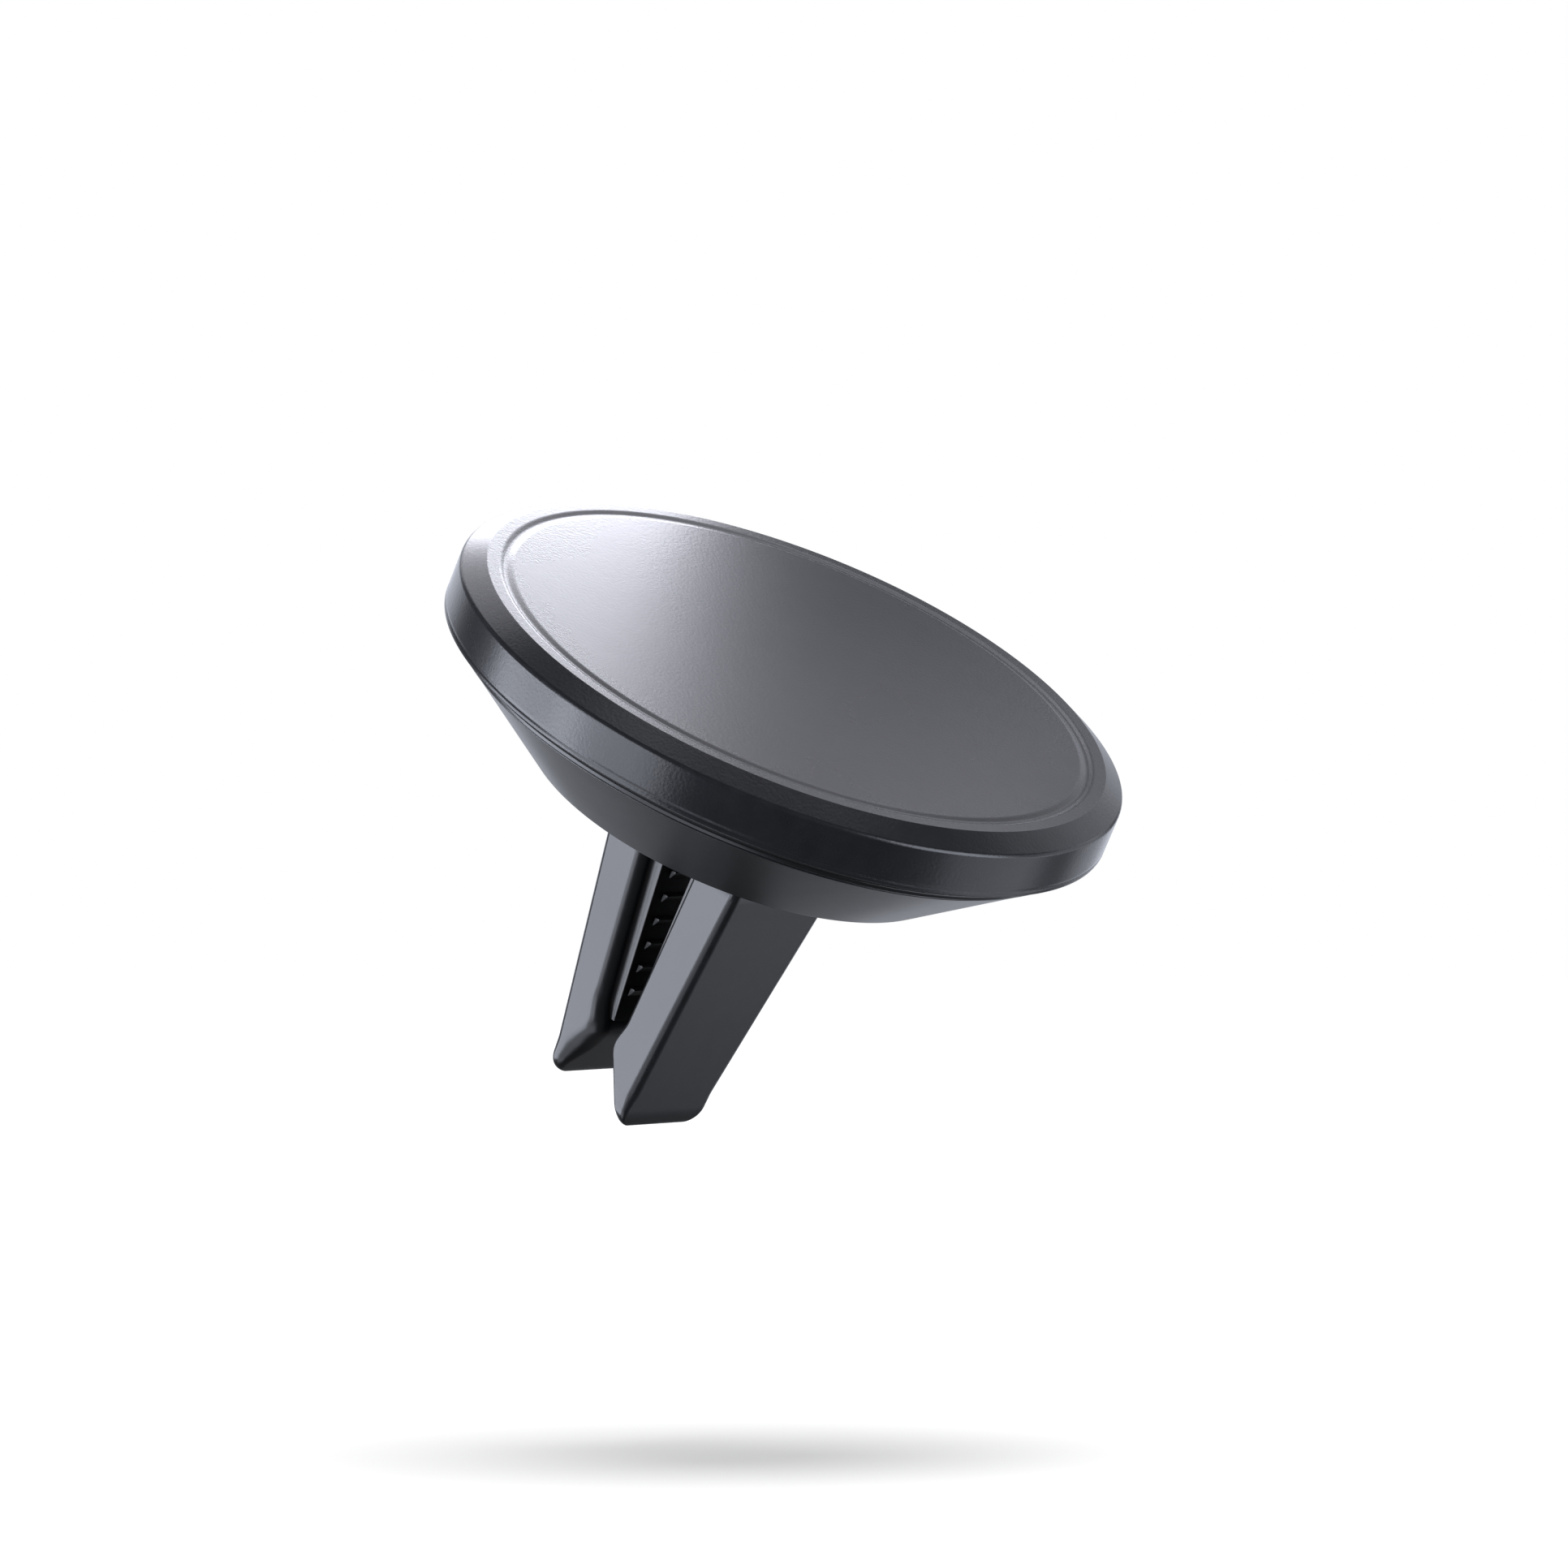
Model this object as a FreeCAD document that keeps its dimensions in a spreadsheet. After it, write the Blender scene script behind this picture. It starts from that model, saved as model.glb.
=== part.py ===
import FreeCAD, Part
import os
import re

import Sketcher

# A magnetic phone mount for a car's air vent: a round magnetic head on a ball joint, and a clip whose
# two jaws push onto a vent blade.  The row frame has its origin at the centre of the head's flat face,
# +Z out of that face, +X across the jaws, and +Y along the blade.
#
# Every piece is drawn in a bench frame that lies face down: local +Z is the depth below the face, so
# every depth in the sheet is a positive number.  TURNED then stands each piece in the row frame.

TURNED = FreeCAD.Placement(FreeCAD.Vector(0, 0, 0), FreeCAD.Rotation(FreeCAD.Vector(1, 0, 0), 180))
HALF_TURN = FreeCAD.Placement(FreeCAD.Vector(0, 0, 0), FreeCAD.Rotation(FreeCAD.Vector(0, 0, 1), 180))
SPIN_AXIS = FreeCAD.Vector(0, 0, 1)

# Driving dimensions in millimetres, angles in degrees, counts plain.
SIZES = [
    ("head_radius", 28.0, "outside of the round head"),
    ("chamfer_width", 1.88, "chamfer round the face, across"),
    ("chamfer_drop", 1.1, "chamfer round the face, depth"),
    ("face_thickness", 1.3, "front wall of the cover"),
    ("cover_wall", 1.2, "side wall of the cover"),
    ("cover_edge_round", 0.3, "rounding of the chamfer's lower edge"),
    ("cover_lip_round", 0.35, "rounding of the side wall's lower edge"),
    ("groove_inset", 3.5, "ring groove in the face, from the rim to its centre line"),
    ("groove_width", 1.1, "ring groove, edge to edge"),
    ("groove_floor", 0.3, "ring groove, width of its floor"),
    ("groove_drop", 0.3, "ring groove, depth"),
    ("fit", 0.05, "clearance between seated pieces"),
    ("bore_fit", 0.1, "radial clearance of a turned piece in its bore"),
    ("bite", 0.3, "how deep a rib, post or block is rooted in the wall that carries it"),
    ("spare", 1.0, "how far a cutting shape runs past the faces it cuts"),
    ("blind_relief", 0.3, "room below the end of a screw"),
    ("carrier_width", 5.9, "magnet carrier ring, across"),
    ("carrier_cover", 0.2, "room of the carrier in front of the magnets"),
    ("carrier_rim", 0.45, "magnet carrier outside the magnets"),
    ("magnet_count", 16, "arc magnets round the face"),
    ("magnet_width", 3.5, "arc magnet, across"),
    ("magnet_height", 2.4, "arc magnet, thickness"),
    ("magnet_spacing", 2.4, "angle between two neighbouring magnets"),
    ("magnet_play", 0.2, "angle of play at each end of a magnet"),
    ("yoke_width", 5.5, "steel yoke ring, across"),
    ("yoke_thickness", 0.8, "steel yoke ring, thickness"),
    ("flange_inset", 0.55, "chassis flange, set back from the cover's side wall"),
    ("flange_bevel", 0.45, "bevel of the flange, across"),
    ("flange_thickness", 0.5, "chassis flange at its rim"),
    ("web_thickness", 1.5, "chassis web"),
    ("boss_gap", 0.4, "gap between the cover and the chassis boss"),
    ("boss_wall", 1.7, "chassis boss round the ball socket, wall"),
    ("boss_end_wall", 0.8, "chassis boss, thickness of its closed end"),
    ("boss_ledge", 0.6, "ledge of the closed end under the disc spring"),
    ("rib_thickness", 1.2, "chassis rib"),
    ("rib_clear", 0.6, "gap between a chassis rib and the magnet carrier"),
    ("rib_gap", 1.3, "gap between a chassis rib and the cover"),
    ("rib_end_height", 0.6, "chassis rib, height of its outer end"),
    ("rib_count", 4, "chassis ribs"),
    ("screw_offset", 5.6, "chassis screws, from the boss to their circle"),
    ("screw_count", 4, "chassis screws"),
    ("screw_shank", 1.0, "chassis screw, shank radius"),
    ("screw_length", 5.0, "chassis screw under its head"),
    ("screw_head", 1.9, "chassis screw, head radius"),
    ("screw_head_height", 1.2, "chassis screw, head height"),
    ("post_radius", 2.3, "screw post inside the rear cone"),
    ("trim_inset", 0.6, "trim ring's rim, set back from the flange"),
    ("trim_cut", 0.65, "grooves of the trim ring, depth"),
    ("trim_height", 0.65, "trim ring, height"),
    ("trim_groove", 0.2, "groove above the trim ring's rim"),
    ("trim_slit", 0.1, "slit below the trim ring's rim"),
    ("trim_taper", 0.15, "taper of the trim ring's rim"),
    ("cone_inset", 0.4, "rear cone's upper edge, set back from the trim ring's rim"),
    ("cone_base_radius", 17.66, "rear cone, radius at its base"),
    ("cone_wall", 2.3, "rear cone, wall measured across the axis"),
    ("cone_floor", 1.5, "rear cone, floor thickness"),
    ("recess_step", 0.6, "recess in the cone's base, wider than the chassis boss"),
    ("recess_drop", 1.6, "recess in the cone's base, depth"),
    ("collar_height", 1.5, "collar of the cone round the chassis boss"),
    ("collar_wall", 1.4, "collar of the cone, wall"),
    ("ball_radius", 5.0, "ball of the stud"),
    ("ball_play", 0.08, "play between ball, liner and socket"),
    ("liner_thickness", 1.24, "split liner round the ball"),
    ("liner_rise", 2.6, "liner, how far it reaches above the ball's centre"),
    ("liner_slit", 0.6, "slits of the liner"),
    ("liner_slit_drop", 1.4, "slits, how far they reach below the ball's centre"),
    ("seat_wall", 3.3, "wall of the seat and the nut outside the ball socket"),
    ("seat_cut", 1.6, "how far the socket's sphere stands above the seat"),
    ("seat_gap", 0.1, "gap of seat and nut at the ball's centre plane"),
    ("spring_width", 4.4, "disc spring, across"),
    ("spring_height", 0.9, "disc spring, height"),
    ("spring_sheet", 0.4, "disc spring, thickness"),
    ("spring_land", 0.4, "disc spring, width of its two seats"),
    ("spring_clear", 0.6, "gap round the disc spring"),
    ("tilt_limit", 15.0, "tilt of the head about the ball"),
    ("tilt_room", 0.17, "room left between neck and nut at full tilt"),
    ("nut_cut", 2.9, "how far the socket's sphere would reach below the nut's rim"),
    ("nut_mouth_flare", 0.27, "clamp nut, flare of its mouth"),
    ("nut_lip_wall", 0.62, "clamp nut, wall of its lip"),
    ("nut_lip_drop", 1.4, "clamp nut, how far its lip stands below its rim"),
    ("notch_count", 4, "clamp nut, spanner notches"),
    ("notch_width", 1.6, "clamp nut, width of a notch"),
    ("notch_drop", 1.0, "clamp nut, depth of a notch"),
    ("notch_reach", 2.1, "clamp nut, length of a notch"),
    ("neck_radius", 2.7, "neck of the ball stud"),
    ("neck_play", 0.45, "room of the neck in the liner"),
    ("hex_margin", 0.38, "hexagon of the stud, beyond the neck at its corners"),
    ("hex_height", 0.9, "hexagon of the stud"),
    ("stud_screw_shank", 1.2, "stud screw, shank radius"),
    ("stud_screw_grip", 4.4, "stud screw, length inside the stud"),
    ("stud_screw_head", 2.2, "stud screw, head radius"),
    ("stud_screw_head_height", 1.3, "stud screw, head height"),
    ("clip_gap", 1.3, "gap between the rear cone and the clip"),
    ("stem_length", 25.6, "length of the clip"),
    ("stem_top_half", 8.17, "half size of the clip across the jaws, at its upper face"),
    ("stem_tip_half", 4.57, "the same at the jaw tips"),
    ("stem_top_side", 5.87, "half size of the clip along the blade, at its upper face"),
    ("stem_tip_side", 4.59, "the same at the jaw tips"),
    ("shoulder", 1.4, "chamfer of the clip's upper face"),
    ("base_thickness", 1.5, "clip base, from its upper face to the jaws"),
    ("root_gap", 0.25, "slit between the clip base and the jaws"),
    ("block_wall", 0.45, "wall of the block round the stud screw's head"),
    ("block_side", 4.4, "block between the jaw roots, half length"),
    ("block_drop", 1.7, "block below the clip base"),
    ("slot_top_half", 3.34, "half gap of the jaws at their roots"),
    ("slot_low_half", 1.95, "half gap of the jaws above the hump"),
    ("slot_low_rise", 8.1, "from the tip up to the start of the hump"),
    ("hump_half", 1.3, "half gap of the jaws at the hump"),
    ("hump_top_rise", 6.3, "from the tip up to where the hump is full"),
    ("hump_low_rise", 5.5, "from the tip up to where the lead-in starts"),
    ("nose_half", 4.12, "half gap of the jaws at the end of the lead-in"),
    ("nose_drop", 0.5, "height of the blunt nose"),
    ("nose_flat", 0.2, "set-back of the blunt nose"),
    ("tip_corner", 1.3, "corner radius of each jaw tip along the blade"),
    ("jaw_edge_round", 0.4, "rounding of a jaw's outer edges"),
    ("leaf_offset", 5.6, "spring leaf, distance from the middle"),
    ("leaf_thickness", 0.5, "spring leaf"),
    ("leaf_width", 7.0, "spring leaf, along the blade"),
    ("leaf_into_base", 1.0, "spring leaf, length inside the clip base"),
    ("leaf_into_jaw", 5.8, "spring leaf, length inside the jaw"),
    ("leaf_play", 0.13, "room of the leaf in the clip base"),
    ("pad_clear", 0.3, "gap between the block and the grip pads"),
    ("pad_low_rise", 6.8, "from the tip up to the grip pad's lower end"),
    ("pad_top_half", 1.63, "half gap of the pads at their upper end"),
    ("pad_low_half", 0.72, "half gap of the pads at their lower end"),
    ("pad_inset", 1.0, "how far the pad's sides lie inside the jaw's"),
    ("ridge_count", 6, "grip ridges on each pad"),
    ("ridge_above", 2.0, "from the pad's upper end to its first ridge"),
    ("ridge_below", 2.7, "from the last ridge to the pad's lower end"),
    ("ridge_base", 0.8, "grip ridge, width at its foot"),
    ("ridge_height", 0.38, "grip ridge, height"),
    ("ridge_side", 3.15, "grip ridge, half length"),
    ("peg_radius", 1.1, "moulded peg on the pad's back"),
    ("peg_length", 2.4, "length of the pegs"),
    ("peg_above", 2.3, "from the pad's upper end to its first peg"),
    ("peg_below", 3.8, "from the second peg to the pad's lower end"),
]

doc = FreeCAD.newDocument("VentMount")
sheet = doc.addObject("Spreadsheet::Sheet", "Sizes")
for row, (alias, number, note) in enumerate(SIZES, start=1):
    sheet.set(f"A{row}", alias)
    sheet.set(f"B{row}", str(number))
    sheet.setAlias(f"B{row}", alias)
    sheet.set(f"C{row}", note)
doc.recompute()

ALIASES = {alias for alias, _, _ in SIZES}
nodes = []


def size(alias):
    """The sheet's present value of one driving dimension."""
    return float(sheet.get(alias))


def cell(match):
    """A word of the sheet becomes its cell; any other word stays as it is."""
    word = match.group(0)
    return f"Sizes.{word}" if word in ALIASES else word


def of(text):
    """An expression in which every word of the sheet stands for its cell."""
    return re.sub(r"[a-z_]+", cell, text)


def keep(label, thing, placement=TURNED):
    """Names a finished sub-part and stands it in the row frame."""
    thing.Label = label
    thing.Placement = placement
    nodes.append(thing)
    return thing


def new_body(name):
    return doc.addObject("PartDesign::Body", name)


def new_sketch(body, role, name, offset=None):
    """An empty sketch on one of the body's own origin planes, moved along its normal by offset."""
    sketch = body.newObject("Sketcher::SketchObject", name)
    plane = [feature for feature in body.Origin.OriginFeatures if feature.Role == role][0]
    sketch.AttachmentSupport = [(plane, "")]
    sketch.MapMode = "FlatFace"
    if offset:
        sketch.setExpression("AttachmentOffset.Base.z", of(offset))
    return sketch


def pin(sketch, line, end, kind, text, start):
    """Ties one coordinate of a point to an expression; a leading minus puts it on the far side."""
    if text == "0":
        axis = -2 if kind == "DistanceX" else -1
        sketch.addConstraint(Sketcher.Constraint("PointOnObject", line, end, axis))
        return
    if text.startswith("-"):
        rule = Sketcher.Constraint(kind, line, end, -1, 1, abs(start))
    else:
        rule = Sketcher.Constraint(kind, -1, 1, line, end, abs(start))
    index = sketch.addConstraint(rule)
    sketch.setExpression(f"Constraints[{index}]", of(text.lstrip("-")))


def add_polygon(sketch, corners):
    """A closed polygon whose corners (across, along) are expressions of the sheet."""
    first = sketch.GeometryCount
    count = len(corners)
    rough = []
    for order, (across, along) in enumerate(corners):
        turn = FreeCAD.Rotation(SPIN_AXIS, 360.0 * order / count)
        point = turn.multVec(FreeCAD.Vector(5, 0, 0)) + FreeCAD.Vector(20, 20, 0)
        side_x = -1 if across.startswith("-") else 1
        side_y = -1 if along.startswith("-") else 1
        rough.append(FreeCAD.Vector(side_x * point.x, side_y * point.y, 0))
    for order in range(count):
        sketch.addGeometry(Part.LineSegment(rough[order], rough[(order + 1) % count]), False)
    for order, (across, along) in enumerate(corners):
        after = first + (order + 1) % count
        sketch.addConstraint(Sketcher.Constraint("Coincident", first + order, 2, after, 1))
        pin(sketch, first + order, 1, "DistanceX", across, rough[order].x)
        pin(sketch, first + order, 1, "DistanceY", along, rough[order].y)


def polygon(body, role, name, corners, offset=None):
    sketch = new_sketch(body, role, name, offset)
    add_polygon(sketch, corners)
    return sketch


def add_circle(sketch, across, along, radius):
    """A circle whose centre and radius are expressions of the sheet."""
    circle = Part.Circle(FreeCAD.Vector(10, 10, 0), SPIN_AXIS, 1)
    index = sketch.addGeometry(circle, False)
    pin(sketch, index, 3, "DistanceX", across, 10)
    pin(sketch, index, 3, "DistanceY", along, 10)
    rule = sketch.addConstraint(Sketcher.Constraint("Radius", index, 1))
    sketch.setExpression(f"Constraints[{rule}]", of(radius))


def turned(body, name, corners):
    """A solid of revolution about the head's axis; corners are (radius, depth)."""
    sketch = polygon(body, "XZ_Plane", f"{name}Profile", corners)
    feature = body.newObject("PartDesign::Revolution", name)
    feature.Profile = sketch
    feature.ReferenceAxis = (sketch, ["V_Axis"])
    feature.Angle = 360
    body.Tip = feature
    return feature


def padded(body, name, sketch, length, midplane=False):
    feature = body.newObject("PartDesign::Pad", name)
    feature.Profile = sketch
    feature.Midplane = midplane
    feature.setExpression("Length", of(length))
    body.Tip = feature
    return feature


def pocketed(body, name, sketch, length=None):
    """A pocket along the sketch's normal, of one length, or both ways right through."""
    feature = body.newObject("PartDesign::Pocket", name)
    feature.Profile = sketch
    if length is None:
        feature.Type = "ThroughAll"
        feature.Midplane = True
    else:
        feature.Reversed = True
        feature.setExpression("Length", of(length))
    body.Tip = feature
    return feature


def around(body, name, feature, count):
    """A full circle of copies of one feature about the head's axis."""
    pattern = body.newObject("PartDesign::PolarPattern", name)
    pattern.Originals = [feature]
    axis = [item for item in body.Origin.OriginFeatures if item.Role == "Z_Axis"][0]
    pattern.Axis = (axis, [""])
    pattern.Angle = 360
    pattern.setExpression("Occurrences", of(count))
    body.Tip = pattern
    return pattern


def rounded(body, name, edges, radius):
    base = body.Tip
    feature = body.newObject("PartDesign::Fillet", name)
    feature.Base = (base, edges)
    feature.setExpression("Radius", of(radius))
    body.Tip = feature
    return feature


def ring_edges(shape, radius, depth):
    """Names of the circular edges of one radius at one depth."""
    found = []
    for order, edge in enumerate(shape.Edges, start=1):
        curve = edge.Curve
        if isinstance(curve, Part.Circle) and abs(curve.Radius - radius) < 0.01:
            if abs(abs(curve.Center.z) - depth) < 0.01:
                found.append(f"Edge{order}")
    return found


def cylinder(name, radius, top, bottom):
    """A cylinder on the head's axis between two depths."""
    thing = doc.addObject("Part::Cylinder", name)
    thing.setExpression("Radius", of(radius))
    thing.setExpression("Height", of(f"({bottom}) - ({top})"))
    thing.setExpression("Placement.Base.z", of(top))
    return thing


def sphere(name, radius):
    """A sphere about the ball's centre."""
    thing = doc.addObject("Part::Sphere", name)
    thing.setExpression("Radius", of(radius))
    thing.setExpression("Placement.Base.z", of(BALL_DEPTH))
    return thing


def block(name, middle_x, long_x, long_y, top, bottom):
    """A box between two depths, centred along the blade, with its middle at middle_x."""
    thing = doc.addObject("Part::Box", name)
    thing.setExpression("Length", of(long_x))
    thing.setExpression("Width", of(long_y))
    thing.setExpression("Height", of(f"({bottom}) - ({top})"))
    thing.setExpression("Placement.Base.x", of(f"({middle_x}) - ({long_x}) / 2"))
    thing.setExpression("Placement.Base.y", of(f"-({long_y}) / 2"))
    thing.setExpression("Placement.Base.z", of(top))
    return thing


def cut(name, base, *tools):
    """The base less every tool."""
    result = base
    for order, tool in enumerate(tools, start=1):
        feature = doc.addObject("Part::Cut", f"{name}{order}")
        feature.Base = result
        feature.Tool = tool
        result = feature
    return result


# Depths and radii that follow from the sheet, front to back: cover, magnets, yoke, chassis, trim ring,
# ball socket, rear cone and clip.
COVER_BORE = "(head_radius - cover_wall)"
LAND = "(head_radius - chamfer_width)"
GROOVE = "(head_radius - groove_inset)"
CARRIER_TOP = "(face_thickness + fit)"
CARRIER_BOTTOM = f"({CARRIER_TOP} + carrier_cover + magnet_height)"
CARRIER_OUTER = f"({COVER_BORE} - bore_fit)"
CARRIER_INNER = f"({CARRIER_OUTER} - carrier_width)"
MAGNET_OUTER = f"({CARRIER_OUTER} - carrier_rim - fit)"
MAGNET_INNER = f"({MAGNET_OUTER} - magnet_width)"
COVER_BOTTOM = f"({CARRIER_BOTTOM} + yoke_thickness + fit)"
FLANGE = "(head_radius - flange_inset)"
FLANGE_BOTTOM = f"({COVER_BOTTOM} + flange_thickness)"
WEB_BOTTOM = f"({COVER_BOTTOM} + web_thickness)"
TRIM_RIM = f"({FLANGE} - trim_inset)"
TRIM_CORE = f"({TRIM_RIM} - trim_cut)"
CONE_TOP = f"({FLANGE_BOTTOM} + trim_height)"
CONE_TOP_RADIUS = f"({TRIM_RIM} - cone_inset)"
SOCKET_RADIUS = "(ball_radius + liner_thickness + 2 * ball_play)"
BOSS_BORE = f"({SOCKET_RADIUS} + seat_wall)"
BOSS_RADIUS = f"({BOSS_BORE} + boss_wall)"
BOSS_TOP = "(face_thickness + boss_gap)"
SEAT_OUTER = f"({BOSS_BORE} - bore_fit)"
SPRING_OUTER = f"({SEAT_OUTER} - spring_clear)"
SPRING_INNER = f"({SPRING_OUTER} - spring_width)"
SPRING_TOP = f"({BOSS_TOP} + boss_end_wall)"
SEAT_TOP = f"({SPRING_TOP} + spring_height)"
BALL_DEPTH = f"({SEAT_TOP} + {SOCKET_RADIUS} - seat_cut)"
RECESS_FLOOR = f"({BALL_DEPTH} + {SOCKET_RADIUS} - nut_cut)"
CONE_BASE = f"({RECESS_FLOOR} + recess_drop)"
FLOOR_TOP = f"({CONE_BASE} - cone_floor)"
SCREW_CIRCLE = f"({BOSS_RADIUS} + screw_offset)"
SCREW_SIDE = f"({SCREW_CIRCLE} * sqrt(0.5))"
NUT_LIP_BOTTOM = f"({RECESS_FLOOR} + nut_lip_drop)"
NECK_SWING = f"(({NUT_LIP_BOTTOM} - {BALL_DEPTH}) * tan(tilt_limit))"
NUT_MOUTH = f"(neck_radius / cos(tilt_limit) + {NECK_SWING} + tilt_room)"
STEM_TOP = f"({CONE_BASE} + clip_gap)"
TIP = f"({STEM_TOP} + stem_length)"
HEX_RADIUS = "(neck_radius / cos(30) + hex_margin)"
HEX_BOTTOM = f"({STEM_TOP} + hex_height)"
BASE_BOTTOM = f"({STEM_TOP} + base_thickness)"
BLOCK_HALF = "(stud_screw_head + bore_fit + block_wall)"
BLOCK_BOTTOM = f"({BASE_BOTTOM} + block_drop)"
SINK_TOP = f"({BLOCK_BOTTOM} - stud_screw_head_height - fit)"
JAW_TOP = f"({BASE_BOTTOM} + root_gap)"
SLOT_LOW = f"({TIP} - slot_low_rise)"
PAD_TOP = f"({BLOCK_BOTTOM} + pad_clear)"
PAD_BOTTOM = f"({TIP} - pad_low_rise)"
PEG_DEPTHS = (f"{PAD_TOP} + peg_above", f"{PAD_BOTTOM} - peg_below")


def sloped(depth, top, bottom, top_value, bottom_value):
    """A straight taper between two depths, as an expression."""
    slope = f"({bottom_value} - {top_value}) / ({bottom} - {top})"
    return f"({top_value} + {slope} * (({depth}) - {top}))"


def cone_outside(depth):
    """Radius of the rear cone's outside at a depth."""
    return sloped(depth, CONE_TOP, CONE_BASE, CONE_TOP_RADIUS, "cone_base_radius")


# The chassis web stands just inside the rear cone.
SPIGOT = f"({cone_outside(WEB_BOTTOM)} - cone_wall - fit)"


def stem_half(depth):
    """Half size of the clip across the jaws at a depth."""
    return sloped(depth, STEM_TOP, TIP, "stem_top_half", "stem_tip_half")


def stem_side(depth):
    """Half size of the clip along the blade at a depth."""
    return sloped(depth, STEM_TOP, TIP, "stem_top_side", "stem_tip_side")


def slot_half(depth):
    """Half gap between the jaws at a depth above the hump."""
    return sloped(depth, JAW_TOP, SLOT_LOW, "slot_top_half", "slot_low_half")


def pad_half(depth):
    """Half gap between the pads' flat faces at a depth."""
    return sloped(depth, PAD_TOP, PAD_BOTTOM, "pad_top_half", "pad_low_half")


def front_cover():
    """Soft-touch cap: flat face with a ring groove, chamfer and side wall."""
    body = new_body("FrontCover")
    turned(body, "CoverShell", [
        ("0", "0"),
        (f"{GROOVE} - groove_width / 2", "0"),
        (f"{GROOVE} - groove_floor / 2", "groove_drop"),
        (f"{GROOVE} + groove_floor / 2", "groove_drop"),
        (f"{GROOVE} + groove_width / 2", "0"),
        (LAND, "0"),
        ("head_radius", "chamfer_drop"),
        ("head_radius", COVER_BOTTOM),
        (COVER_BORE, COVER_BOTTOM),
        (COVER_BORE, "face_thickness"),
        ("0", "face_thickness"),
    ])
    doc.recompute()
    edge = ring_edges(body.Tip.Shape, size("head_radius"), size("chamfer_drop"))
    rounded(body, "CoverEdge", edge, "cover_edge_round")
    doc.recompute()
    deepest = body.Tip.Shape.BoundBox.ZMax
    lip = ring_edges(body.Tip.Shape, size("head_radius"), deepest)
    rounded(body, "CoverLip", lip, "cover_lip_round")
    keep("front_cover", body)


def magnet_carrier():
    """Ring under the face with one pocket for each magnet."""
    body = new_body("MagnetCarrier")
    turned(body, "CarrierRing", [
        (CARRIER_INNER, CARRIER_TOP),
        (CARRIER_OUTER, CARRIER_TOP),
        (CARRIER_OUTER, CARRIER_BOTTOM),
        (CARRIER_INNER, CARRIER_BOTTOM),
    ])
    sketch = polygon(body, "XZ_Plane", "PocketProfile", [
        (f"{MAGNET_INNER} - fit", f"{CARRIER_TOP} - spare"),
        (f"{MAGNET_OUTER} + fit", f"{CARRIER_TOP} - spare"),
        (f"{MAGNET_OUTER} + fit", f"{CARRIER_BOTTOM} + spare"),
        (f"{MAGNET_INNER} - fit", f"{CARRIER_BOTTOM} + spare"),
    ])
    pocket = body.newObject("PartDesign::Groove", "MagnetPocket")
    pocket.Profile = sketch
    pocket.ReferenceAxis = (sketch, ["V_Axis"])
    pocket.Midplane = True
    pocket.setExpression("Angle", of("360 / magnet_count - magnet_spacing + 2 * magnet_play"))
    body.Tip = pocket
    around(body, "PocketRing", pocket, "magnet_count")
    keep("magnet_carrier", body)


def magnets():
    """The ring of arc magnets, each a piece of its own, resting on the yoke."""
    top = f"{CARRIER_BOTTOM} - magnet_height"
    count = int(size("magnet_count"))
    for order in range(count):
        body = new_body(f"Magnet{order + 1}")
        sketch = polygon(body, "XZ_Plane", f"MagnetProfile{order + 1}", [
            (MAGNET_INNER, top),
            (MAGNET_OUTER, top),
            (MAGNET_OUTER, CARRIER_BOTTOM),
            (MAGNET_INNER, CARRIER_BOTTOM),
        ])
        arc = body.newObject("PartDesign::Revolution", f"MagnetArc{order + 1}")
        arc.Profile = sketch
        arc.ReferenceAxis = (sketch, ["V_Axis"])
        arc.Midplane = True
        arc.setExpression("Angle", of("360 / magnet_count - magnet_spacing"))
        body.Tip = arc
        turn = FreeCAD.Rotation(SPIN_AXIS, 360.0 * order / count)
        keep(f"magnet_{order + 1:02d}", body, FreeCAD.Placement(FreeCAD.Vector(0, 0, 0), turn) * TURNED)


def yoke_ring():
    """Steel ring that closes the magnets' field behind them."""
    body = new_body("YokeRing")
    inner = f"{CARRIER_OUTER} - yoke_width"
    turned(body, "YokeSheet", [
        (inner, CARRIER_BOTTOM),
        (CARRIER_OUTER, CARRIER_BOTTOM),
        (CARRIER_OUTER, f"{CARRIER_BOTTOM} + yoke_thickness"),
        (inner, f"{CARRIER_BOTTOM} + yoke_thickness"),
    ])
    keep("yoke_ring", body)


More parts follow.
